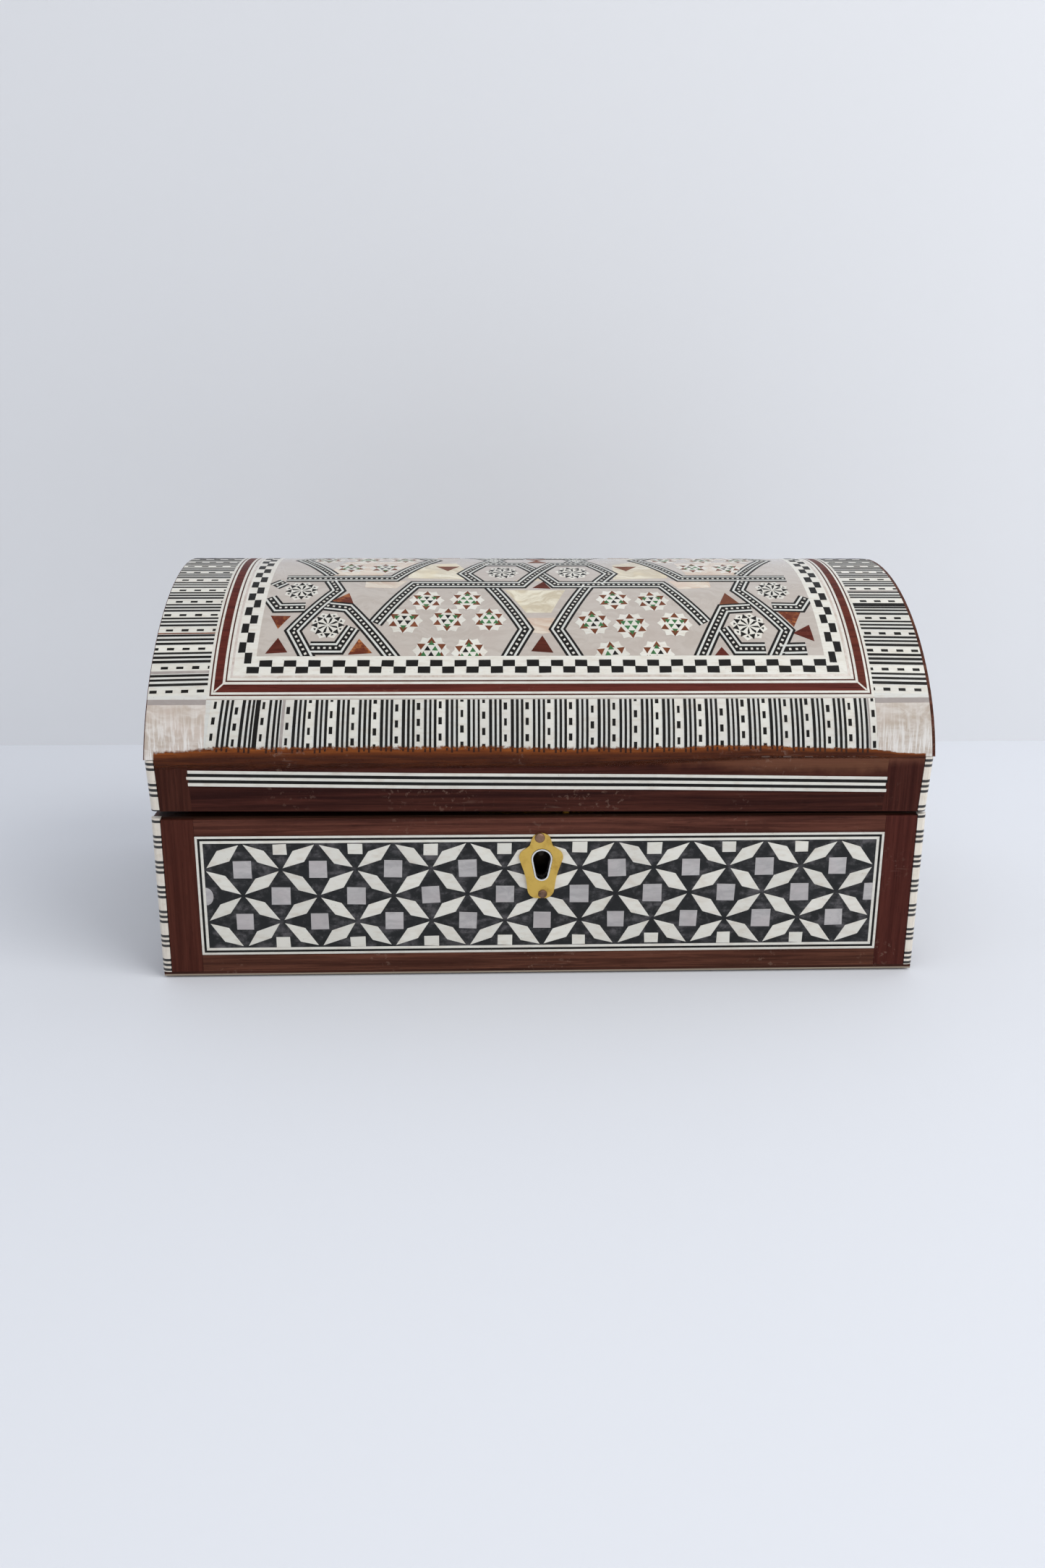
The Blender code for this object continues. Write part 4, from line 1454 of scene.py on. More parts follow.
@dataclass
class DomeInlay:
    """The sheet of inlay over the lid's dome."""

    frame_half: float = 89.4
    frame_low: float = 16.2
    field_in: float = 12.1
    corner_reach: float = 14.6
    check: float = 3.27
    check_deep: float = 1.93
    check_front: tuple[float, int] = (7.0, 49)
    check_side: tuple[float, int] = (9.9, 33)
    band_out: tuple[float, float] = (104.85, 104.2)
    rows: tuple[tuple[float, float, str], ...] = (
        (0.0, 0.74, "bone"), (0.74, 1.12, "red"), (1.12, 1.74, "bone"), (1.74, 3.9, "band"),
        (3.9, 4.6, "bone"), (4.6, 4.98, "red"), (4.98, 5.75, "bone"), (5.75, 6.4, "shell"),
        (6.4, 12.1, "bone"))
    girth: float = field(init=False, default=0.0)
    front_band: StripBand | None = field(init=False, default=None)

    def build(self) -> None:
        """Lay the whole sheet and put it in place of the plain one."""
        dome = Dome()
        self.girth = dome.girth
        ground = Mosaic("dome_ground", dome, "lid", depth=1.12, seed=3)
        ground.lay(SHELL_PASTE, box_outline(-CORE_X, 0.0, CORE_X, self.girth), 0.0, 0.0)
        made = ground.build()
        bands = Mosaic("dome_bands", dome, "lid", seed=11)
        self.lay_bands(bands)
        made += bands.build()
        border = Mosaic("dome_border", dome, "lid", seed=13)
        self.lay_frame(border)
        self.lay_checks(border)
        made += border.build()
        low = (-self.frame_half + self.field_in, self.frame_low + self.field_in)
        high = (-low[0], self.girth - low[1])
        inner = Mosaic("dome_field", dome, "lid", seed=17, fence=box_outline(*low, *high))
        self.lay_shell(inner)
        self.lay_straps(inner)
        self.lay_stars(inner)
        self.lay_wedges(inner)
        made += inner.build()
        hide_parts("dome_inlay")

    def both(self, outline: Outline) -> list[Outline]:
        """An outline and its copy on the back of the dome."""
        return [outline, [(u, self.girth - v) for u, v in outline]]

    def lay_bands(self, mosaic: Mosaic) -> None:
        """Strip bands along the front, back and both ends, with shell at the corners.

        Args:
            mosaic: where it is laid.
        """
        half, low = self.frame_half, self.frame_low
        top = low - 0.35

        def lean(place: float) -> float:
            """The first strips at the left lean over, the rest hardly do."""
            return 1.25 * max(0.0, min(1.0, (-58 - place) / 25)) + 0.18 * math.sin(place / 14)

        front = StripBand(-half, half, 0.0, top, Run.UP, -87.4,
                          {1: (1.35, EBONY), 2: (0.9, GREY_FILLER), 29: (0.6, GREY_FILLER)}, lean=lean)
        front.lay(mosaic)
        self.front_band = front
        back = StripBand(-half, half, self.girth - top, self.girth, Run.UP, -86.9,
                         {4: (0.8, GREY_FILLER), 17: (0.6, EBONY)})
        back.lay(mosaic)

        def sway(place: float) -> float:
            """The end strips dip a little outwards near the front."""
            return 0.55 * max(0.0, 1 - place / 60)

        ends = {-1: {0: (0.9, GREY_FILLER), 2: (0.55, RUSSET), 6: (0.4, GREY_FILLER)},
                1: {4: (1.6, EBONY), 5: (0.7, GREY_FILLER), 10: (0.5, GREY_FILLER)}}
        for side in (-1, 1):
            reach = sorted((side * half, side * self.band_out[side > 0]))
            StripBand(low - 0.2, self.girth - low + 0.2, *reach, Run.ALONG, 18.2, ends[side],
                      lean=lambda place, s=side: -s * sway(place)).lay(mosaic)
            for quad in self.both(box_outline(reach[0] + 0.05, 0.0, reach[1], self.corner_reach)):
                mosaic.lay(SHELL_CORNER, quad, 0.06, 0.08, 0.05)
            for quad in self.both(box_outline(reach[0] + 0.05, self.corner_reach, reach[1], low - 0.2)):
                mosaic.lay(GREY_FILLER, quad, 0.03, 0.03)

    def ring(self, mosaic: Mosaic, finish: Finish, outer: float, inner: float, rise: float) -> None:
        """Four mitred lengths between two distances inside the frame's edge.

        Args:
            mosaic: where it is laid.
            finish: what it is made of.
            outer: the outer distance.
            inner: the inner distance.
            rise: height of its top above the surface.
        """
        size = self.frame_half, self.frame_low, self.girth - self.frame_low
        for length in mitred(framed(*size, outer), framed(*size, inner)):
            mosaic.lay(finish, length, rise, 0.04)

    def lay_frame(self, mosaic: Mosaic) -> None:
        """The lines and the mahogany band round the field.

        Args:
            mosaic: where it is laid.
        """
        finishes = {"red": RED_LINE, "band": WOOD_BAND, "shell": SHELL_CORNER, "bone": BONE}
        for outer, inner, name in self.rows:
            self.ring(mosaic, finishes[name], outer, inner, 0.05 if name in ("band", "red") else 0.035)
        half, low = self.frame_half, self.frame_low
        near, far, thin = 1.9, 4.6, 0.16
        for sx in (-1, 1):
            for v0, sv in ((low, 1), (self.girth - low, -1)):
                a = (sx * (half - near), v0 + sv * near)
                b = (sx * (half - far), v0 + sv * far)
                slant = sx * sv * thin
                mitre = [(a[0] - thin, a[1] - slant), (a[0] + thin, a[1] + slant),
                         (b[0] + thin, b[1] + slant), (b[0] - thin, b[1] - slant)]
                mosaic.lay(BONE_WARM, mitre, 0.06, 0.03)

    def lay_checks(self, mosaic: Mosaic) -> None:
        """Two rows of black checks on the bone, shifted by one.

        Args:
            mosaic: where it is laid.
        """
        deep = self.check_deep
        inside, count = self.check_front
        start = self.frame_low + inside
        left = -self.check * count / 2 + 0.6
        for k in range(count):
            row = k % 2
            u = left + k * self.check
            for flip in (False, True):
                v0 = start + row * deep
                v1 = v0 + deep
                if flip:
                    v0, v1 = self.girth - v1, self.girth - v0
                mosaic.lay(EBONY, box_outline(u, v0, u + self.check + 0.04, v1), 0.072, 0.02, 0.07)
        side = self.frame_half - inside
        inside, count = self.check_side
        step = (self.girth - 2 * (self.frame_low + inside)) / count
        for k in range(count):
            column = (k + 1) % 2
            v = self.frame_low + inside + k * step
            for sx in (-1, 1):
                u0, u1 = sorted((sx * (side - column * deep), sx * (side - (column + 1) * deep)))
                mosaic.lay(EBONY, box_outline(u0, v, u1, v + step + 0.04), 0.06, 0.02, 0.07)

    def lay_shell(self, mosaic: Mosaic) -> None:
        """Larger pieces of shell set in the paste.

        Args:
            mosaic: where it is laid.
        """
        cream = [
            [(-9.9, 54.4), (7.5, 54.4), (3.0, 43.6), (-4.1, 43.6)],
            [(-38, 62), (-20, 61), (-21, 68), (-24, 76), (-37, 74)],
            [(22, 61), (38, 62), (40, 70), (30, 78), (23, 74)],
            [(-7, 60), (6, 60), (2, 64.5), (-2, 64.5)],
        ]
        pink = [
            [(-62, 63.8), (-46, 63.8), (-40, 70), (-34, 76.6), (-40, 79), (-57, 78)],
            [(44, 64.4), (60, 64.4), (66, 74), (58, 78), (42, 76)],
            [(40.5, 55), (50, 56), (50, 60), (38, 60)],
            [(-50, 56), (-41, 55.5), (-38, 60), (-50, 60)],
            [(-8, 41.5), (8, 41.5), (5.2, 36.5), (0.3, 35.6), (-5.6, 36.5)],
        ]
        for finish, regions in ((SHELL_CREAM, cream), (SHELL_PINK, pink)):
            for region in regions:
                for outline in self.both(region):
                    mosaic.lay(finish, outline, 0.022, 0.03)

    def lay_straps(self, mosaic: Mosaic) -> None:
        """Every strap of the interlace, on both slopes.

        Args:
            mosaic: where it is laid.
        """
        over = ((-46, 39.5), (-35.7, 57.6), (-5, 57.6), (5, 74.9), (15.9, 74.9))
        under = [((-14.2, 57), (-4.3, 37.2), (-9.6, 27)), ((-17.3, 58.5), (-21.5, 65.3), (-10.5, 84.4))]
        left = [((-60, 60), (-57.5, 54.2), (-68.4, 36.7), (-63.2, 27)),
                ((-76.5, 50.5), (-73.6, 45.8), (-66, 46)), ((-60.5, 46.8), (-53.9, 45.8), (-40.2, 27)),
                ((-52.0, 37.9), (-55.4, 30.9), (-63.2, 30.9)), ((-75.9, 56.6), (-73.3, 59.3))]
        right = [((60, 60), (57.5, 54.2), (68.4, 36.7), (63.2, 27)),
                 ((76.5, 50.5), (73.6, 45.8), (66, 46)), ((59.8, 45.8), (52, 45.2), (43.1, 27)),
                 ((50.5, 37.5), (53.8, 30.4), (61.5, 30.4)), ((65.5, 30.2), (72.8, 30.4))]
        end_large = ((-73, 61.6), (-41.8, 61.6), (-30.7, 80.7), (-41.8, 99.8), (-73, 99.8))
        end_small = ((-60, 63.9), (-70.4, 80.7), (-60, 97.5))
        wide = [over, *under]
        mirrored = [tuple((-u, v) for u, v in p) for p in wide]
        for rise, paths in ((0.045, under + mirrored[1:]), (0.060, [mirrored[0]]), (0.085, [over]),
                            (0.05, left[1:] + right[1:]), (0.075, [left[0], right[0]])):
            for path in paths:
                Strap(tuple(path), rise).lay(mosaic)
                Strap(tuple((u, self.girth - v) for u, v in path), rise).lay(mosaic)
        for sx in (1, -1):
            for rise, path in ((0.07, end_large), (0.045, end_small)):
                Strap(tuple((sx * u, v) for u, v in path), rise).lay(mosaic)

    def lay_stars(self, mosaic: Mosaic) -> None:
        """Rings of six-pointed stars and the round rosettes.

        Args:
            mosaic: where it is laid.
        """
        rings = ([(-32.1, 49.2), (-20.7, 49.4), (-14.5, 41.0), (-38.1, 40.6), (-30.3, 29.9), (-19.9, 29.4),
                  (-26.0, 41.0)],
                 [(31.9, 48.9), (21.0, 49.5), (14.5, 39.9), (37.3, 39.1), (31.4, 28.7), (19.0, 28.4),
                  (25.0, 38.6)])
        chance = random.Random(29)
        for ring in rings:
            for number, (u, v) in enumerate(ring):
                for flip in (False, True):
                    place = (u, self.girth - v if flip else v)
                    SixStar(place, 4.9 * chance.uniform(0.96, 1.04), chance.uniform(-6, 6),
                            (number % 3 != 0) != flip).lay(mosaic)
        for sx in (1, -1):
            for number, (u, v) in enumerate(rings[0]):
                place = (sx * 51 + (u + 26.0) * 0.98, self.girth / 2 + (v - 40.0) * 0.98)
                SixStar(place, 4.7, chance.uniform(-6, 6), number % 2 == 0).lay(mosaic)
        for u, v in ((-59.0, 38.8), (57.9, 38.3), (-67.9, 54.2), (67.6, 54.4), (-10.4, 66.4), (10.4, 66.4)):
            for place in ((u, v), (u, self.girth - v)):
                EightStar(place, 5.15 * chance.uniform(0.97, 1.03), chance.uniform(0, 20)).lay(mosaic)

    def lay_wedges(self, mosaic: Mosaic) -> None:
        """Triangles of amber horn, russet wood and mahogany in the gaps.

        Args:
            mosaic: where it is laid.
        """
        amber = [[(-58.8, 48.8), (-52.7, 47.8), (-54.2, 52.9)],
                 [(-75.2, 42.4), (-69.6, 42.4), (-72.5, 37.4)],
                 [(-52.8, 28.8), (-46.2, 29.2), (-50.1, 33.9)],
                 [(67.1, 44), (73.5, 43.7), (70.6, 37.9)]]
        russet = [[(51, 47.1), (56.7, 47.7), (53.4, 52.9)], [(-2.5, 77), (3.3, 77), (0.4, 80.6)],
                  [(-30, 72), (-23, 72), (-26.5, 67.5)], [(30, 72), (23, 72), (26.5, 67.5)]]
        dark = [[(-75, 29.1), (-69.2, 29.5), (-72.1, 34.2)], [(-3.1, 29.7), (3, 29.3), (0.1, 35)],
                [(-1.9, 55.6), (3.4, 55.2), (1.4, 59.5)], [(69.9, 35.7), (75.4, 32.8), (74.9, 38.7)],
                [(46.9, 28.0), (51.4, 28.0), (49.4, 31.0)]]
        for finish, wedges in ((TORTOISE, amber), (RUSSET, russet), (WOOD_BAND, dark)):
            for wedge in wedges:
                for outline in self.both(wedge):
                    mosaic.lay(finish, outline, 0.07, 0.06, 0.08)


@dataclass
class LatticePanel:
    """One side of the body: a mahogany frame round a lattice of bone petals in resin."""

    side: Side
    half: float
    reach: float
    periods: int
    low: float = 7.0
    high: float = 41.6
    border: float = 2.05
    seed: int = 5
    notches: tuple[float, ...] = ()
    notch_half: float = 12.25
    notch_floor: float = 45.2
    foot: float = 1.95
    # how far the frame stops below the rim, so more of the board painted dark as shade shows in the gap
    shade_gap_drop: float = 0.42
    square: float = 2.5
    moon: Point = (2.1, 2.6)
    tooth: Point = (1.95, 3.1)
    petal_gap: float = 0.80
    petal_fat: float = 2.02

    def build(self) -> None:
        """Lay the frame and the panel in place of the plain ones."""
        face = Face(self.side)
        woods = Mosaic(f"{self.side.value}_frame", face, "box_body", depth=1.38, seed=self.seed)
        self.lay_woods(woods)
        made = woods.build()
        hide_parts(f"{self.side.value}_frame")
        panel = Mosaic(f"{self.side.value}_panel", face, "box_body", depth=0.5, seed=self.seed + 1)
        self.lay_border(panel)
        self.lay_lattice(panel)
        made = panel.build()
        if self.side is not Side.FRONT:
            back = Mosaic(f"{self.side.value}_resin", face, "box_body", depth=1.3)
            back.lay(RESIN, box_outline(-self.half, self.low, self.half, self.high), -0.03, 0.0)
            made = back.build()
            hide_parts(f"{self.side.value}_panel")
        else:
            dress_node("front_panel", RESIN)

    def lay_woods(self, mosaic: Mosaic) -> None:
        """Two upright stiles and two rails, butted.

        Args:
            mosaic: where it is laid.
        """
        grain = WOOD_X if self.side in (Side.FRONT, Side.BACK) else WOOD_Y
        # the top stops short of the rim to widen the painted-shade gap under the lid
        bottom, top = self.foot, RIM - self.shade_gap_drop
        wide, deep = self.notch_half, self.notch_floor
        for sign in (-1, 1):
            u0, u1 = sorted((sign * self.reach, sign * (self.half + 0.06)))
            mosaic.lay(WOOD_Z, box_outline(u0, bottom, u1, top), 0.0, 0.10)
        inner = self.half + 0.02
        mosaic.lay(grain, box_outline(-inner, bottom, inner, self.low - 0.04), 0.0, 0.08)
        upper: Outline = [(-inner, self.high + 0.04), (inner, self.high + 0.04), (inner, top)]
        for centre in sorted(self.notches, reverse=True):
            for u, v in ((wide, top), (wide, deep), (-wide, deep), (-wide, top)):
                upper.append((centre + u, v))
        mosaic.lay(grain, upper + [(-inner, top)], 0.0, 0.08)

    def lay_border(self, mosaic: Mosaic) -> None:
        """Bone, black and bone lines round the lattice.

        Args:
            mosaic: where it is laid.
        """
        size = self.half, self.low, self.high
        for outer, inner, finish in ((0.0, 0.66, BONE), (0.66, 1.30, EBONY), (1.30, self.border, BONE)):
            for length in mitred(framed(*size, outer), framed(*size, inner)):
                mosaic.lay(finish, length, 0.03, 0.05)

    def lay_lattice(self, mosaic: Mosaic) -> None:
        """Petals between the crossings, squares in the openings, teeth along both edges.

        Args:
            mosaic: where it is laid.
        """
        half = self.half - self.border
        low, high = self.low + self.border, self.high - self.border
        wide, tall = 2 * half / self.periods, (high - low) / 4
        mosaic.fence = framed(half, low, high, 0.02)
        nodes = self.crossings(mosaic.chance, half, high, wide, tall)
        for (row, k), here in nodes.items():
            for step in ((0, -1) if row % 2 else (0, 1)):
                other = nodes.get((row + 1, k + step))
                if other is not None and abs((here.x + other.x) / 2) < half:
                    self.petal(mosaic, here, other)
        self.lay_squares(mosaic, nodes, half, wide)
        self.lay_teeth(mosaic, nodes, low, high)

    def crossings(self, chance: random.Random, half: float, high: float, wide: float,
                  tall: float) -> dict[tuple[int, int], Vector]:
        """Where the petals meet, five rows of them, each a little out of place.

        Args:
            chance: the panel's stream of small chances.
            half: half the lattice's width.
            high: the lattice's upper edge.
            wide: the distance between crossings in a row.
            tall: the distance between rows.

        Returns:
            The crossings by row and number.
        """
        nodes = {}
        for row in range(5):
            shift = 0.5 if row % 2 == 0 else 0.0
            for k in range(-1, self.periods + 1):
                stray = (chance.uniform(-0.22, 0.22), chance.uniform(-0.16, 0.16))
                nodes[row, k] = Vector((-half + (k + shift) * wide + stray[0],
                                        high - row * tall + stray[1]))
        return nodes

    def lay_squares(self, mosaic: Mosaic, nodes: dict[tuple[int, int], Vector], half: float,
                    wide: float) -> None:
        """Squares of grey shell in the openings, but none under the keyhole plate.

        Args:
            mosaic: where it is laid.
            nodes: the crossings.
            half: half the lattice's width.
            wide: the distance between crossings.
        """
        chance = mosaic.chance
        for row in (1, 2, 3):
            for k in range(-1, self.periods + 1):
                here = nodes[row, k]
                middle = here.lerp(nodes.get((row, k + 1), here + Vector((wide, 0))), 0.5)
                plate = self.side is Side.FRONT and abs(middle.x) < 4.5 and row < 3
                if abs(middle.x) > half + 0.5 or plate:
                    continue
                size = self.square * chance.uniform(0.93, 1.05)
                if row == 2 and middle.x < -half + 1:
                    moon = [(middle.x + self.moon[0] * math.cos(a), middle.y + self.moon[1] * math.sin(a))
                            for a in (math.radians(d) for d in range(-88, 89, 16))]
                    mosaic.lay(SHELL_GREY, moon, 0.035, 0.06)
                    continue
                turn = chance.uniform(-2.5, 2.5) + 45
                square = spun(tuple(middle), [(90 * i, size * 1.414) for i in range(4)], turn)
                mosaic.lay(SHELL_GREY, square, 0.035, 0.06, 0.08)

    def lay_teeth(self, mosaic: Mosaic, nodes: dict[tuple[int, int], Vector], low: float,
                  high: float) -> None:
        """Short bone blocks between the petals along the upper and lower edges.

        Args:
            mosaic: where it is laid.
            nodes: the crossings.
            low: the lattice's lower edge.
            high: its upper edge.
        """
        chance = mosaic.chance
        for k in range(self.periods - 1):
            for row, sign in ((1, 1), (3, -1)):
                node = nodes[row, k + 1]
                edge = high - chance.uniform(0.2, 0.5) if sign > 0 else low + chance.uniform(0.0, 0.3)
                w = self.tooth[0] * chance.uniform(0.92, 1.06)
                h = self.tooth[1] * chance.uniform(0.92, 1.08)
                v0, v1 = sorted((edge, edge - sign * h))
                mosaic.lay(BONE, box_outline(node.x - w, v0, node.x + w, v1), 0.035, 0.06, 0.12)

    def petal(self, mosaic: Mosaic, here: Vector, other: Vector) -> None:
        """A long lozenge of bone from one crossing nearly to the next.

        Args:
            mosaic: where it is laid.
            here: one crossing.
            other: the next.
        """
        chance = mosaic.chance
        along = (other - here).normalized()
        side = Vector((-along.y, along.x))
        reach = (other - here).length
        gap = self.petal_gap * chance.uniform(0.75, 1.15)
        fat = self.petal_fat * chance.uniform(0.92, 1.08)
        first, second = 0.47 + chance.uniform(-0.04, 0.02), 0.53 + chance.uniform(-0.02, 0.05)
        corners = [here + along * gap, here + along * reach * first + side * fat,
                   other - along * gap, here + along * reach * second - side * fat]
        mosaic.lay(BONE, [tuple(c) for c in corners], 0.045, 0.07)


@dataclass
class LidSkirt:
    """The straight part of the lid: stiles, five-line stringing and the run of old varnish."""

    lines: tuple[float, ...] = (0.0, 0.84, 1.72, 2.54, 3.42, 4.32)
    lines_top: float = 60.05
    stile_top: float = 62.9
    reach: tuple[Point, ...] = ((-102.4, 2.6), (-84.0, 3.9), (-35.0, 4.0), (20.0, 3.2), (58.0, 3.6),
                                (80.0, 2.9), (102.4, 1.2))
    band: StripBand | None = None
    covered: float = 0.865
    seen_half: float = 0.27

    def build(self) -> None:
        """Dress both rails and lay the lines on them."""
        for side in (Side.FRONT, Side.BACK):
            dress_node(f"lid_{side.value}_rail", WOOD_SKIRT)
            skirt = Mosaic(f"skirt_{side.value}", SkirtFace(side), "lid", seed=23)
            self.lay(skirt, side)
            skirt.build()
            self.varnish(side)

    def lay(self, mosaic: Mosaic, side: Side) -> None:
        """End stiles and stringing; the lines fall slightly towards the right.

        Args:
            mosaic: where it is laid.
            side: front or back.
        """
        left, right, drop = (-93.9, 92.6, 2.55) if side is Side.FRONT else (-93.0, 93.0, 0.8)
        foot = 0.06
        for corner, edge in ((-NOTCH_X, left), (NOTCH_X, right)):
            mosaic.lay(WOOD_SKIRT_END, [(corner, self.sawn(corner) + foot), (edge, self.sawn(edge) + foot),
                                        (edge, self.stile_top), (corner, self.stile_top)], 0.03, 0.05)

        def top(u: float) -> float:
            """Height of the stringing's upper edge."""
            return self.lines_top - drop * (u - left) / (right - left) + 0.10 * math.sin(u / 21)

        cuts = [left + (right - left) * i / 6 for i in range(7)]
        for number, (a, b) in enumerate(zip(self.lines, self.lines[1:])):
            finish = (BONE, EBONY)[number % 2]
            for u0, u1 in zip(cuts, cuts[1:]):
                z0, z1 = top(u0), top(u1)
                start = u0 - 0.25 * (number % 3) * (u0 == left)
                end = u1 + 0.2 * ((number + 1) % 3) * (u1 == right)
                mosaic.lay(finish, [(start, z0 - b), (end, z1 - b), (end, z1 - a), (start, z0 - a)],
                           0.045, 0.04)

    def run_top(self, x: float) -> float:
        """How far the old varnish reaches up on to the dome at a place along the front.

        Args:
            x: the place, in millimetres.

        Returns:
            The arc length above the springing.
        """
        for (x0, top0), (x1, top1) in zip(self.reach, self.reach[1:]):
            if x <= x1:
                part = max(0.0, (x - x0) / (x1 - x0))
                return top0 + (top1 - top0) * part * part * (3 - 2 * part)
        return self.reach[-1][1]

    @staticmethod
    def run_foot(x: float) -> float:
        """How far the old varnish reaches down the rail, as a height above the springing."""
        return -3.0 + 2.3 * max(0.0, min(1.0, (x - 8) / 55))

    @staticmethod
    def sawn(x: float) -> float:
        """Height of the lid's sawn lower edge."""
        return SAWN - SAW_FALL * x / (2 * HALF_W)

    def varnish(self, side: Side) -> None:
        """A thin skin of varnish with a ragged upper edge, over the lower ends of the dome's strips.

        Args:
            side: front or back.
        """
        dome = Dome()
        skirt = SkirtFace(side)
        chance = random.Random(31)
        columns, rows = 620, 12
        data = bmesh.new()
        layer = data.verts.layers.float.new("share")
        phases = [(chance.uniform(0.9, 1.4) * f, chance.uniform(0, 6.28), a)
                  for f, a in ((0.05, 0.45), (0.17, 0.35), (0.45, 0.22), (1.3, 0.16), (3.1, 0.10))]

        def at(u: float, v: float, height: float) -> Vector:
            """A point of the skin; v is the arc above the springing, or minus the drop below it.

            Args:
                u: the place along, in millimetres.
                v: the arc above the springing, or minus the drop below it.
                height: how far out from the surface.

            Returns:
                The point.
            """
            if side is Side.FRONT:
                if v > 0:
                    return dome.point(u, v, height)
                return skirt.point(u, SPRINGING + v, height)
            if v > 0:
                return dome.point(u, dome.girth - v, height)
            return skirt.point(-u, SPRINGING + v, height)

        def edge(u: float) -> float:
            """The ragged upper edge of the skin."""
            return self.run_top(u) + 0.30 * sum(a * math.sin(f * u + p) for f, p, a in phases)

        grids = []
        for under in (False, True):
            grid = []
            for i in range(columns + 1):
                u = -NOTCH_X + 2 * NOTCH_X * i / columns
                top = edge(u)
                foot = self.run_foot(u)
                column = []
                for j in range(rows + 1):
                    share = j / rows
                    v = foot + (top - foot) * share
                    thick = 0.035 + 0.05 * math.sin(math.pi * share) * share
                    height = 0.02 if under else 0.055 + thick
                    vert = data.verts.new(at(u, v, height))
                    vert[layer] = share
                    column.append(vert)
                grid.append(column)
            grids.append(grid)
        close_grids(data, *grids)
        to_object(f"varnish_run_{side.value}", data, VARNISH, "lid", 60)
        if side is Side.FRONT and self.band:
            self.line_ends(edge)
        log.info("laid the varnish run on the %s", side.value)

    def line_ends(self, edge: Callable[[float], float]) -> None:
        """The ends of the black lines, seen dimly through the thin edge of the varnish.

        Args:
            edge: the height of the varnish's upper edge at a place along the front.
        """
        ends = Mosaic("varnish_line_ends", Dome(), "lid", depth=0.06, seed=41)
        for here in self.band.lines_at:
            foot = self.run_foot(here)
            top = foot + self.covered * (edge(here) - foot)
            low = top - ends.chance.uniform(0.7, 1.3)
            ends.lay(DIMMED, self.band.quad(here, self.seen_half, low, top), 0.130, 0.02)
        ends.build()


@dataclass
class LidEnds:
    """The arched ends of the lid: mahogany with an arched border round a lattice of petals."""

    inset: float = 6.0
    border: float = 2.0
    foot: float = 55.0
    wide: float = 18.6
    rows: int = 6
    petal_half: float = 1.8
    petal_gap: float = 0.6
    square: float = 3.0

    def build(self) -> None:
        """Dress the boards and inlay them, the part below the dome's base and the part above apart."""
        for side in (Side.LEFT, Side.RIGHT):
            dress_node(f"lid_end_{side.value}", WOOD_Y)
            mosaic = Mosaic(f"lid_end_{side.value}_inlay", EndFace(side), "lid", seed=37)
            lines = ((0.0, 0.7, BONE), (0.7, 1.25, EBONY), (1.25, self.border, BONE_COOL))
            for outer, inner, finish in lines:
                for length in mitred(self.arch(self.inset + outer), self.arch(self.inset + inner)):
                    mosaic.lay(finish, length, 0.03, 0.04)
            edge = self.arch(self.inset + self.border)
            for part in (edge[:3] + edge[-1:], edge[2:]):
                mosaic.fence = None
                mosaic.lay(RESIN, part, 0.014, 0.0)
                mosaic.fence = part
                self.fill(mosaic)
            mosaic.build()

    def arch(self, inside: float) -> Outline:
        """The arched outline at a distance inside the board's edge.

        Args:
            inside: the distance.

        Returns:
            The outline.
        """
        a, b = HALF_D - inside, DOME_RISE - inside
        base = self.foot + inside - self.inset
        points = [(-a, base), (a, base)]
        points += [(a * math.cos(t), DOME_BASE + b * math.sin(t))
                   for t in (math.pi * i / 24 for i in range(25))]
        return points

    def fill(self, mosaic: Mosaic) -> None:
        """Bone petals in a lattice with shell squares, cut off by the arch.

        Args:
            mosaic: where it is laid.
        """
        wide, gap, half = self.wide, self.petal_gap, self.petal_half
        base = self.arch(self.inset + self.border)[0][1]
        tall = (DOME_BASE + DOME_RISE - self.inset - self.border - base) / self.rows
        for row in range(self.rows):
            for k in range(-4, 5):
                here = Vector(((k + 0.5 * (row % 2)) * wide, base + row * tall))
                for step in (-0.5, 0.5):
                    other = here + Vector((step * wide, tall))
                    along = (other - here).normalized()
                    side = Vector((-along.y, along.x))
                    middle = (here + other) / 2
                    petal = (here + along * gap, middle + side * half, other - along * gap,
                             middle - side * half)
                    mosaic.lay(BONE, [tuple(p) for p in petal], 0.045, 0.06)
                if row:
                    middle = here + Vector((wide / 2, 0))
                    square = spun(tuple(middle), [(90 * i, self.square) for i in range(4)], 45)
                    mosaic.lay(SHELL_GREY, square, 0.035, 0.05)


@dataclass
class Carcass:
    """Core boards, base and corner strips, which keep their shapes."""

    def build(self) -> None:
        """Dress every carried-over wooden piece."""
        # the four boards take the near-black finish: painted shade for the gap under the lid
        for node in ("front_board", "back_board", "left_board", "right_board"):
            dress_node(node, GAP_SHADE_BOARD)
        dress_node("base_board", BASE_EDGE)
        dress_node("dome_core", CARCASS)
        for part in ("body", "lid"):
            for front in ("front", "back"):
                for hand in ("left", "right"):
                    dress_node(f"{part}_strip_{front}_{hand}", BONE_RINGED)


@dataclass
class Hardware:
    """Keyhole plate, lock, strike and hinges."""

    def build(self) -> None:
        """Dress every metal piece by what it is, and the lock case, key post and lower lock plate in
        painted shade.
        """
        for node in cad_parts:
            if node.startswith("escutcheon_pin"):
                dress_node(node, COPPER)
            elif node == "keyhole_ferrule":
                dress_node(node, SILVERED)
            # lock case and key post: painted shade for the dark inside of the keyhole
            elif node in ("lock_case", "lock_key_post"):
                dress_node(node, KEYHOLE_SHADE_IRON)
            elif node == "lock_plate":
                dress_node(node, LOCK_BRASS)
            elif node in ("lock_bolt", "lock_bolt_spring") or node.endswith("_pin"):
                dress_node(node, STEEL)
            elif node.startswith(("escutcheon", "lock_", "strike_", "hinge_")):
                dress_node(node, BRASS)


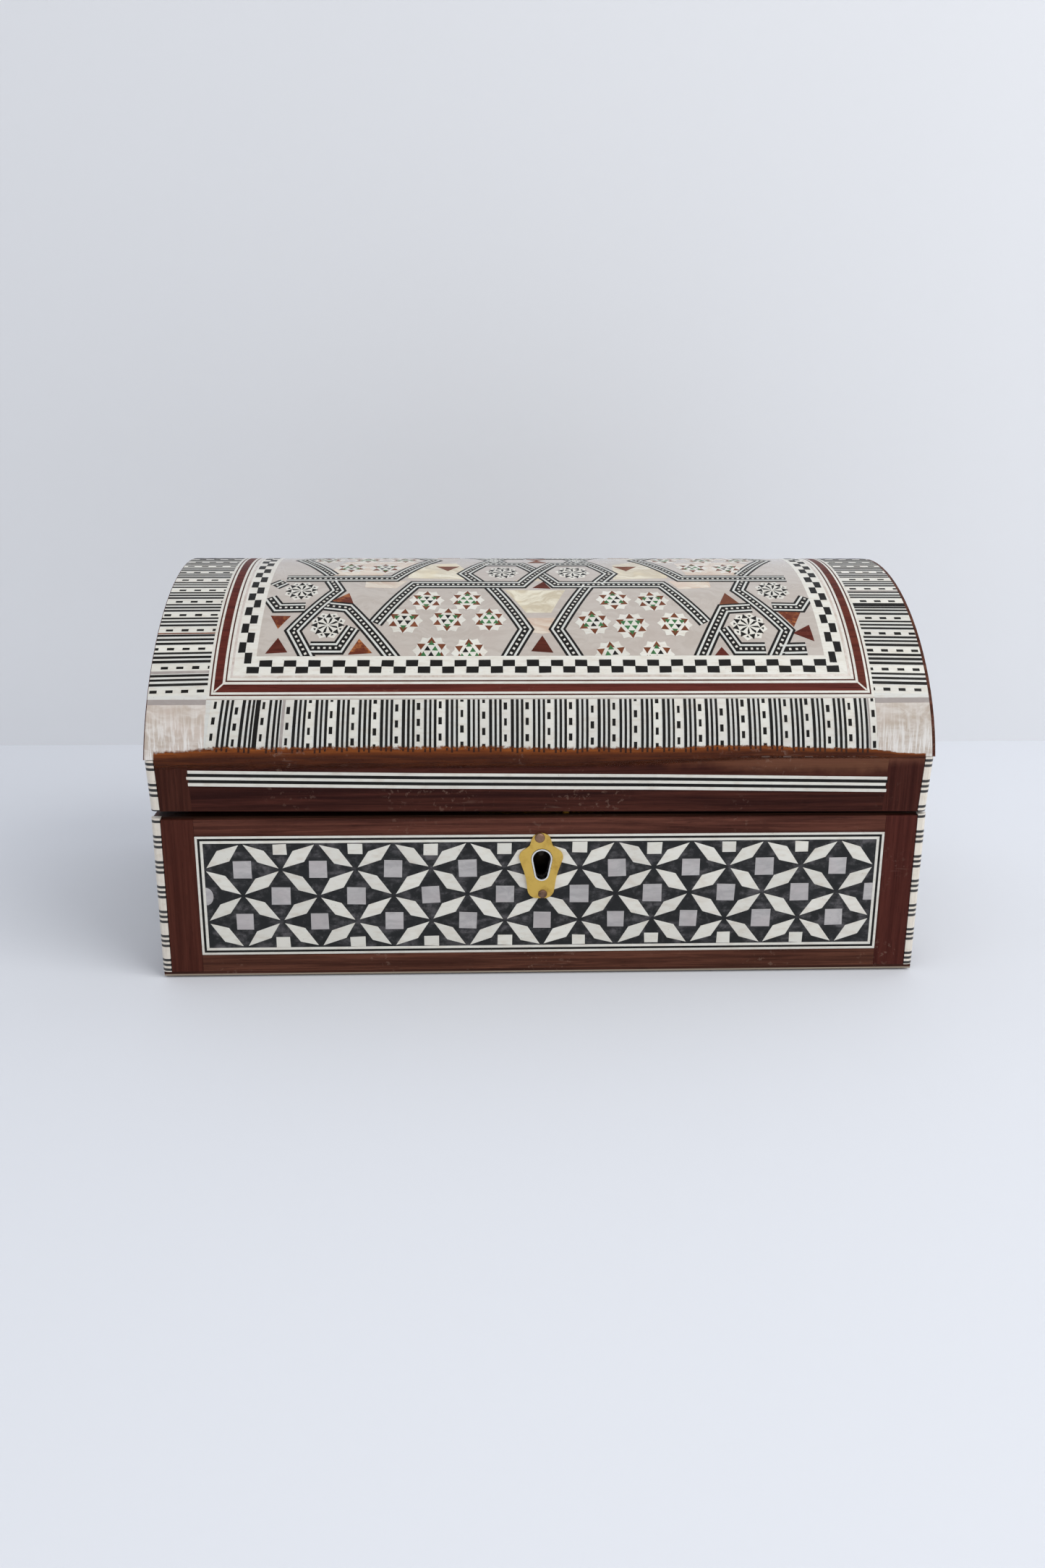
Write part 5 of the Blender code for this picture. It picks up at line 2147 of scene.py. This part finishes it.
@dataclass
class Lining:
    """Velvet glued over card inside the body and the lid, and the pad on the floor."""

    card: float = 0.9
    soft: float = 0.45
    play: float = 0.3
    lid_half: float = 96.5
    lid_wall: float = 96.95

    def build(self) -> None:
        """Make the soft panels in place of the plain ones."""
        low, high = (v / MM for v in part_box("body_lining"))
        top, reach, play = high.z, high.x - self.card - self.play / 2, self.play
        for name, sign in (("left", -1), ("right", 1)):
            self.panel(
                f"lining_{name}", "box_body", (2 * high.y - 0.4, top - low.z),
                lambda a, b, h, s=sign: (s * (high.x - h), a - high.y + 0.2, low.z + b))
        lock_low, lock_high = (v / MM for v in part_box("lock_plate"))
        self.panel("lining_back", "box_body", (2 * reach, top - low.z),
                                 lambda a, b, h: (a - reach, high.y - h, low.z + b))
        spans = (("front_left", -reach, lock_low.x - play, top),
                 ("front_right", lock_high.x + play, reach, top),
                 ("front_middle", lock_low.x - play, lock_high.x + play, lock_low.z - play))
        for name, x0, x1, z1 in spans:
            self.panel(f"lining_{name}", "box_body", (x1 - x0, z1 - low.z),
                                     lambda a, b, h, x=x0: (x + a, h - high.y, low.z + b))
        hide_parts("body_lining")
        pad_low, pad_high = (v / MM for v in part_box("floor_pad"))
        pad = self.panel("floor_pad_velvet", "box_body",
                         (pad_high.x - pad_low.x - 0.2, pad_high.y - pad_low.y - 0.2),
                         lambda a, b, h: (pad_low.x + 0.1 + a, pad_low.y + 0.1 + b, pad_low.z + h),
                         thick=pad_high.z - pad_low.z, crown=1.3, steps=(70, 44))
        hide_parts("floor_pad")
        self.lid()
        felt_low, felt_high = (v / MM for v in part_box("base_felt"))
        felt = self.panel("base_felt_sheet", "box_body",
                          (felt_high.x - felt_low.x, felt_high.y - felt_low.y),
                          lambda a, b, h: (felt_low.x + a, felt_low.y + b, felt_high.z - h),
                          thick=felt_high.z, crown=0.2, steps=(40, 24), finish=FELT)
        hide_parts("base_felt")

    def panel(self, name: str, body: str, size: Point, place: Callable, thick: float = 0.0,
              crown: float = 0.0, steps: tuple[int, int] = (48, 20), finish: Finish = VELVET
              ) -> bpy.types.Object:
        """A soft panel, full in the middle and rolled over at its edges.

        Args:
            name: the piece's name.
            body: what it rides on.
            size: its width and length.
            place: puts (along, across, height) in the box, in millimetres.
            thick: its thickness, or 0 for the card's.
            crown: how much lower its edges are, or 0 for the usual roll.
            steps: how finely it is divided.
            finish: its cloth.

        Returns:
            The panel.
        """
        thick, crown = thick or self.card, crown or self.soft
        data = bmesh.new()
        count_a, count_b = steps
        chance = random.Random(len(name) * 7)
        ripple = [(chance.uniform(0.02, 0.09), chance.uniform(0.03, 0.12), chance.uniform(0, 6))
                  for _ in range(5)]
        rows: Grid = []
        under: Grid = []

        def spread(i: int, count: int) -> float:
            """Closer rows near the edges."""
            t = i / count
            return t - 0.55 * math.sin(2 * math.pi * t) / (2 * math.pi)

        for i in range(count_a + 1):
            top_row, low_row = [], []
            for j in range(count_b + 1):
                a, b = size[0] * spread(i, count_a), size[1] * spread(j, count_b)
                edge = min(a, size[0] - a, b, size[1] - b)
                roll = min(1.0, edge / (2.2 * crown + 0.6))
                drop = crown * (1 - math.sqrt(max(0.0, 1 - (1 - roll) ** 2)))
                wave = sum(math.sin(f * a + g * b + p) for f, g, p in ripple) / 5
                height = thick - drop - 0.12 * crown * (1 + wave) * min(1.0, edge / 3)
                top_row.append(data.verts.new(Vector(place(a, b, height)) * MM))
                low_row.append(data.verts.new(Vector(place(a, b, 0.0)) * MM))
            rows.append(top_row)
            under.append(low_row)
        close_grids(data, rows, under)
        made = to_object(name, data, finish, body, 70)
        log.info("made soft panel %s", name)
        return made

    def lid(self) -> None:
        """Velvet over the inside of the dome and its two ends."""
        low, high = (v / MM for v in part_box("lid_lining"))
        half_y, base = high.y, low.z
        rise = high.z - SPRINGING

        def over(a: float, b: float, h: float) -> tuple[float, float, float]:
            """A point on the arched ceiling, with straight sides below the springing.

            Args:
                a: the place along the lid.
                b: the place across it, from the front.
                h: how far in from the wood.

            Returns:
                The point, in millimetres.
            """
            side = SPRINGING - base
            total = 2 * side + math.pi * (half_y + rise) / 2
            run = b * total / size[1]
            if run < side:
                y, z = -half_y + h, base + run
            elif run > total - side:
                y, z = half_y - h, base + total - run
            else:
                t = math.pi * (run - side) / (total - 2 * side)
                y, z = -(half_y - h) * math.cos(t), SPRINGING + (rise - h) * math.sin(t)
            x = (a - size[0] / 2) * lid_scale(z)
            return x, y, z

        size = (2 * self.lid_half, 2 * (SPRINGING - base) + math.pi * (half_y + rise) / 2)
        ceiling = self.panel("lid_lining_vault", "lid", size, over, steps=(60, 72))
        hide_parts("lid_lining")
        for name, sign in (("left", -1), ("right", 1)):
            data = bmesh.new()
            rings = []
            for shrink, out in ((0.0, 0.0), (0.0, 0.45), (0.6, 0.8), (2.5, 0.88), (16.0, 0.85)):
                a, b = half_y - 1.0 - shrink, rise - 1.0 - shrink
                start = base + shrink
                points = [(-a, start), (a, start)] + [
                    (a * math.cos(t), SPRINGING + b * math.sin(t))
                    for t in (math.pi * i / 40 for i in range(41))]
                ring = []
                for y, z in points:
                    x = sign * (self.lid_wall * lid_scale(z) - out)
                    ring.append(data.verts.new(Vector((x, y, z)) * MM))
                rings.append(ring)
            close_loops(data, rings)
            to_object(f"lid_lining_end_{name}", data, VELVET, "lid", 60)
            log.info("made the lid's %s end lining", name)


# ---- setting


@dataclass(frozen=True)
class Lamp:
    """A square soft light aimed at the box; its place and size are in metres."""

    name: str
    place: tuple[float, float, float]
    size: float
    power: float
    colour: Colour

    def build(self) -> None:
        """Hang the light."""
        lamp = bpy.data.lights.new(self.name, "AREA")
        lamp.shape, lamp.size, lamp.energy, lamp.color = "SQUARE", self.size, self.power, self.colour
        made = bpy.data.objects.new(self.name, lamp)
        made.location = self.place
        aim = Vector((0, 0, 0.05)) - Vector(self.place)
        made.rotation_euler = aim.to_track_quat("-Z", "Y").to_euler()
        bpy.context.scene.collection.objects.link(made)


@dataclass
class Studio:
    """Pale table and wall, and soft light from the right; its sizes are in metres."""

    wall_y: float = 0.183
    wall_top: float = 2.6
    half: float = 3.0
    table_front: float = -2.4
    sky: Colour = (0.89, 0.90, 0.93)
    sky_strength: float = 0.575
    lamps: tuple[Lamp, ...] = (Lamp("key", (0.80, -0.62, 0.82), 0.9, 7.7, (1.0, 0.99, 0.97)),
                               Lamp("fill", (-0.7, -0.9, 0.8), 1.3, 1.3, (0.98, 0.98, 1.0)),
                               Lamp("top", (0.1, -0.4, 1.15), 1.4, 1.8, (0.98, 0.99, 1.0)))

    def build(self) -> None:
        """Make the table, the wall, the lights and the world."""
        half, y = self.half, self.wall_y
        self.sheet("table", [(-half, self.table_front, 0), (half, self.table_front, 0), (half, half, 0),
                             (-half, half, 0)],
                   Backdrop("pale_table", "felt", colour=(0.80, 0.825, 0.875)))
        self.sheet("wall", [(-half, y, 0), (half, y, 0), (half, y, self.wall_top),
                            (-half, y, self.wall_top)],
                   Backdrop("pale_wall", "felt", colour=(0.80, 0.815, 0.845), open_behind=True))
        for lamp in self.lamps:
            lamp.build()
        world = bpy.data.worlds.new("studio")
        world.use_nodes = True
        back = world.node_tree.nodes["Background"]
        back.inputs["Color"].default_value = (*self.sky, 1)
        back.inputs["Strength"].default_value = self.sky_strength
        bpy.context.scene.world = world
        bpy.context.scene.view_settings.view_transform = "Standard"
        log.info("set the table, the wall and %d lights", len(self.lamps))

    def sheet(self, name: str, corners: list[tuple], finish: Finish) -> None:
        """One flat part of the setting.

        Args:
            name: the part's name.
            corners: its corners, in metres.
            finish: its finish.
        """
        data = bmesh.new()
        data.faces.new([data.verts.new(c) for c in corners])
        mesh = bpy.data.meshes.new(name)
        data.to_mesh(mesh)
        data.free()
        mesh.materials.append(finish.material())
        made = bpy.data.objects.new(name, mesh)
        bpy.context.scene.collection.objects.link(made)


@dataclass
class View:
    """The camera: a little left of the middle, looking down on the front."""

    place: tuple[float, float, float] = (-18.88, -399.63, 162.62)
    yaw: float = 2.23
    pitch: float = 17.33
    roll: float = 0.35
    lens: float = 30.72
    sensor: float = 36.0

    def build(self) -> None:
        """Make the camera and look through it."""
        yaw, pitch, roll = (math.radians(v) for v in (self.yaw, self.pitch, self.roll))
        ahead = Vector((math.sin(yaw) * math.cos(pitch), math.cos(yaw) * math.cos(pitch), -math.sin(pitch)))
        right = Vector((math.cos(yaw), -math.sin(yaw), 0))
        up = right.cross(ahead)
        turned_right = right * math.cos(roll) + up * math.sin(roll)
        turned_up = up * math.cos(roll) - right * math.sin(roll)
        data = bpy.data.cameras.new("view")
        data.lens, data.sensor_width, data.sensor_fit = self.lens, self.sensor, "AUTO"
        data.clip_start = 10 * MM
        camera = bpy.data.objects.new("view", data)
        rotation = Matrix((turned_right, turned_up, -ahead)).transposed().to_4x4()
        camera.matrix_world = Matrix.Translation(Vector(self.place) * MM) @ rotation
        bpy.context.scene.collection.objects.link(camera)
        bpy.context.scene.camera = camera


def main() -> None:
    """Build the box from the carcass outwards, then the setting."""
    logging.basicConfig(level=logging.INFO, format="%(message)s")
    View().build()
    Carcass().build()
    LatticePanel(Side.FRONT, 93.7, NOTCH_X, 9).build()
    LatticePanel(Side.BACK, 93.7, NOTCH_X, 9, seed=41, notches=(-62.0, 62.0)).build()
    for number, side in enumerate((Side.LEFT, Side.RIGHT)):
        LatticePanel(side, 46.7, NOTCH_Y, 4, seed=51 + number * 4).build()
    LidEnds().build()
    dome = DomeInlay()
    dome.build()
    LidSkirt(band=dome.front_band).build()
    Lining().build()
    Hardware().build()
    Studio().build()


if __name__ == "__main__":
    main()
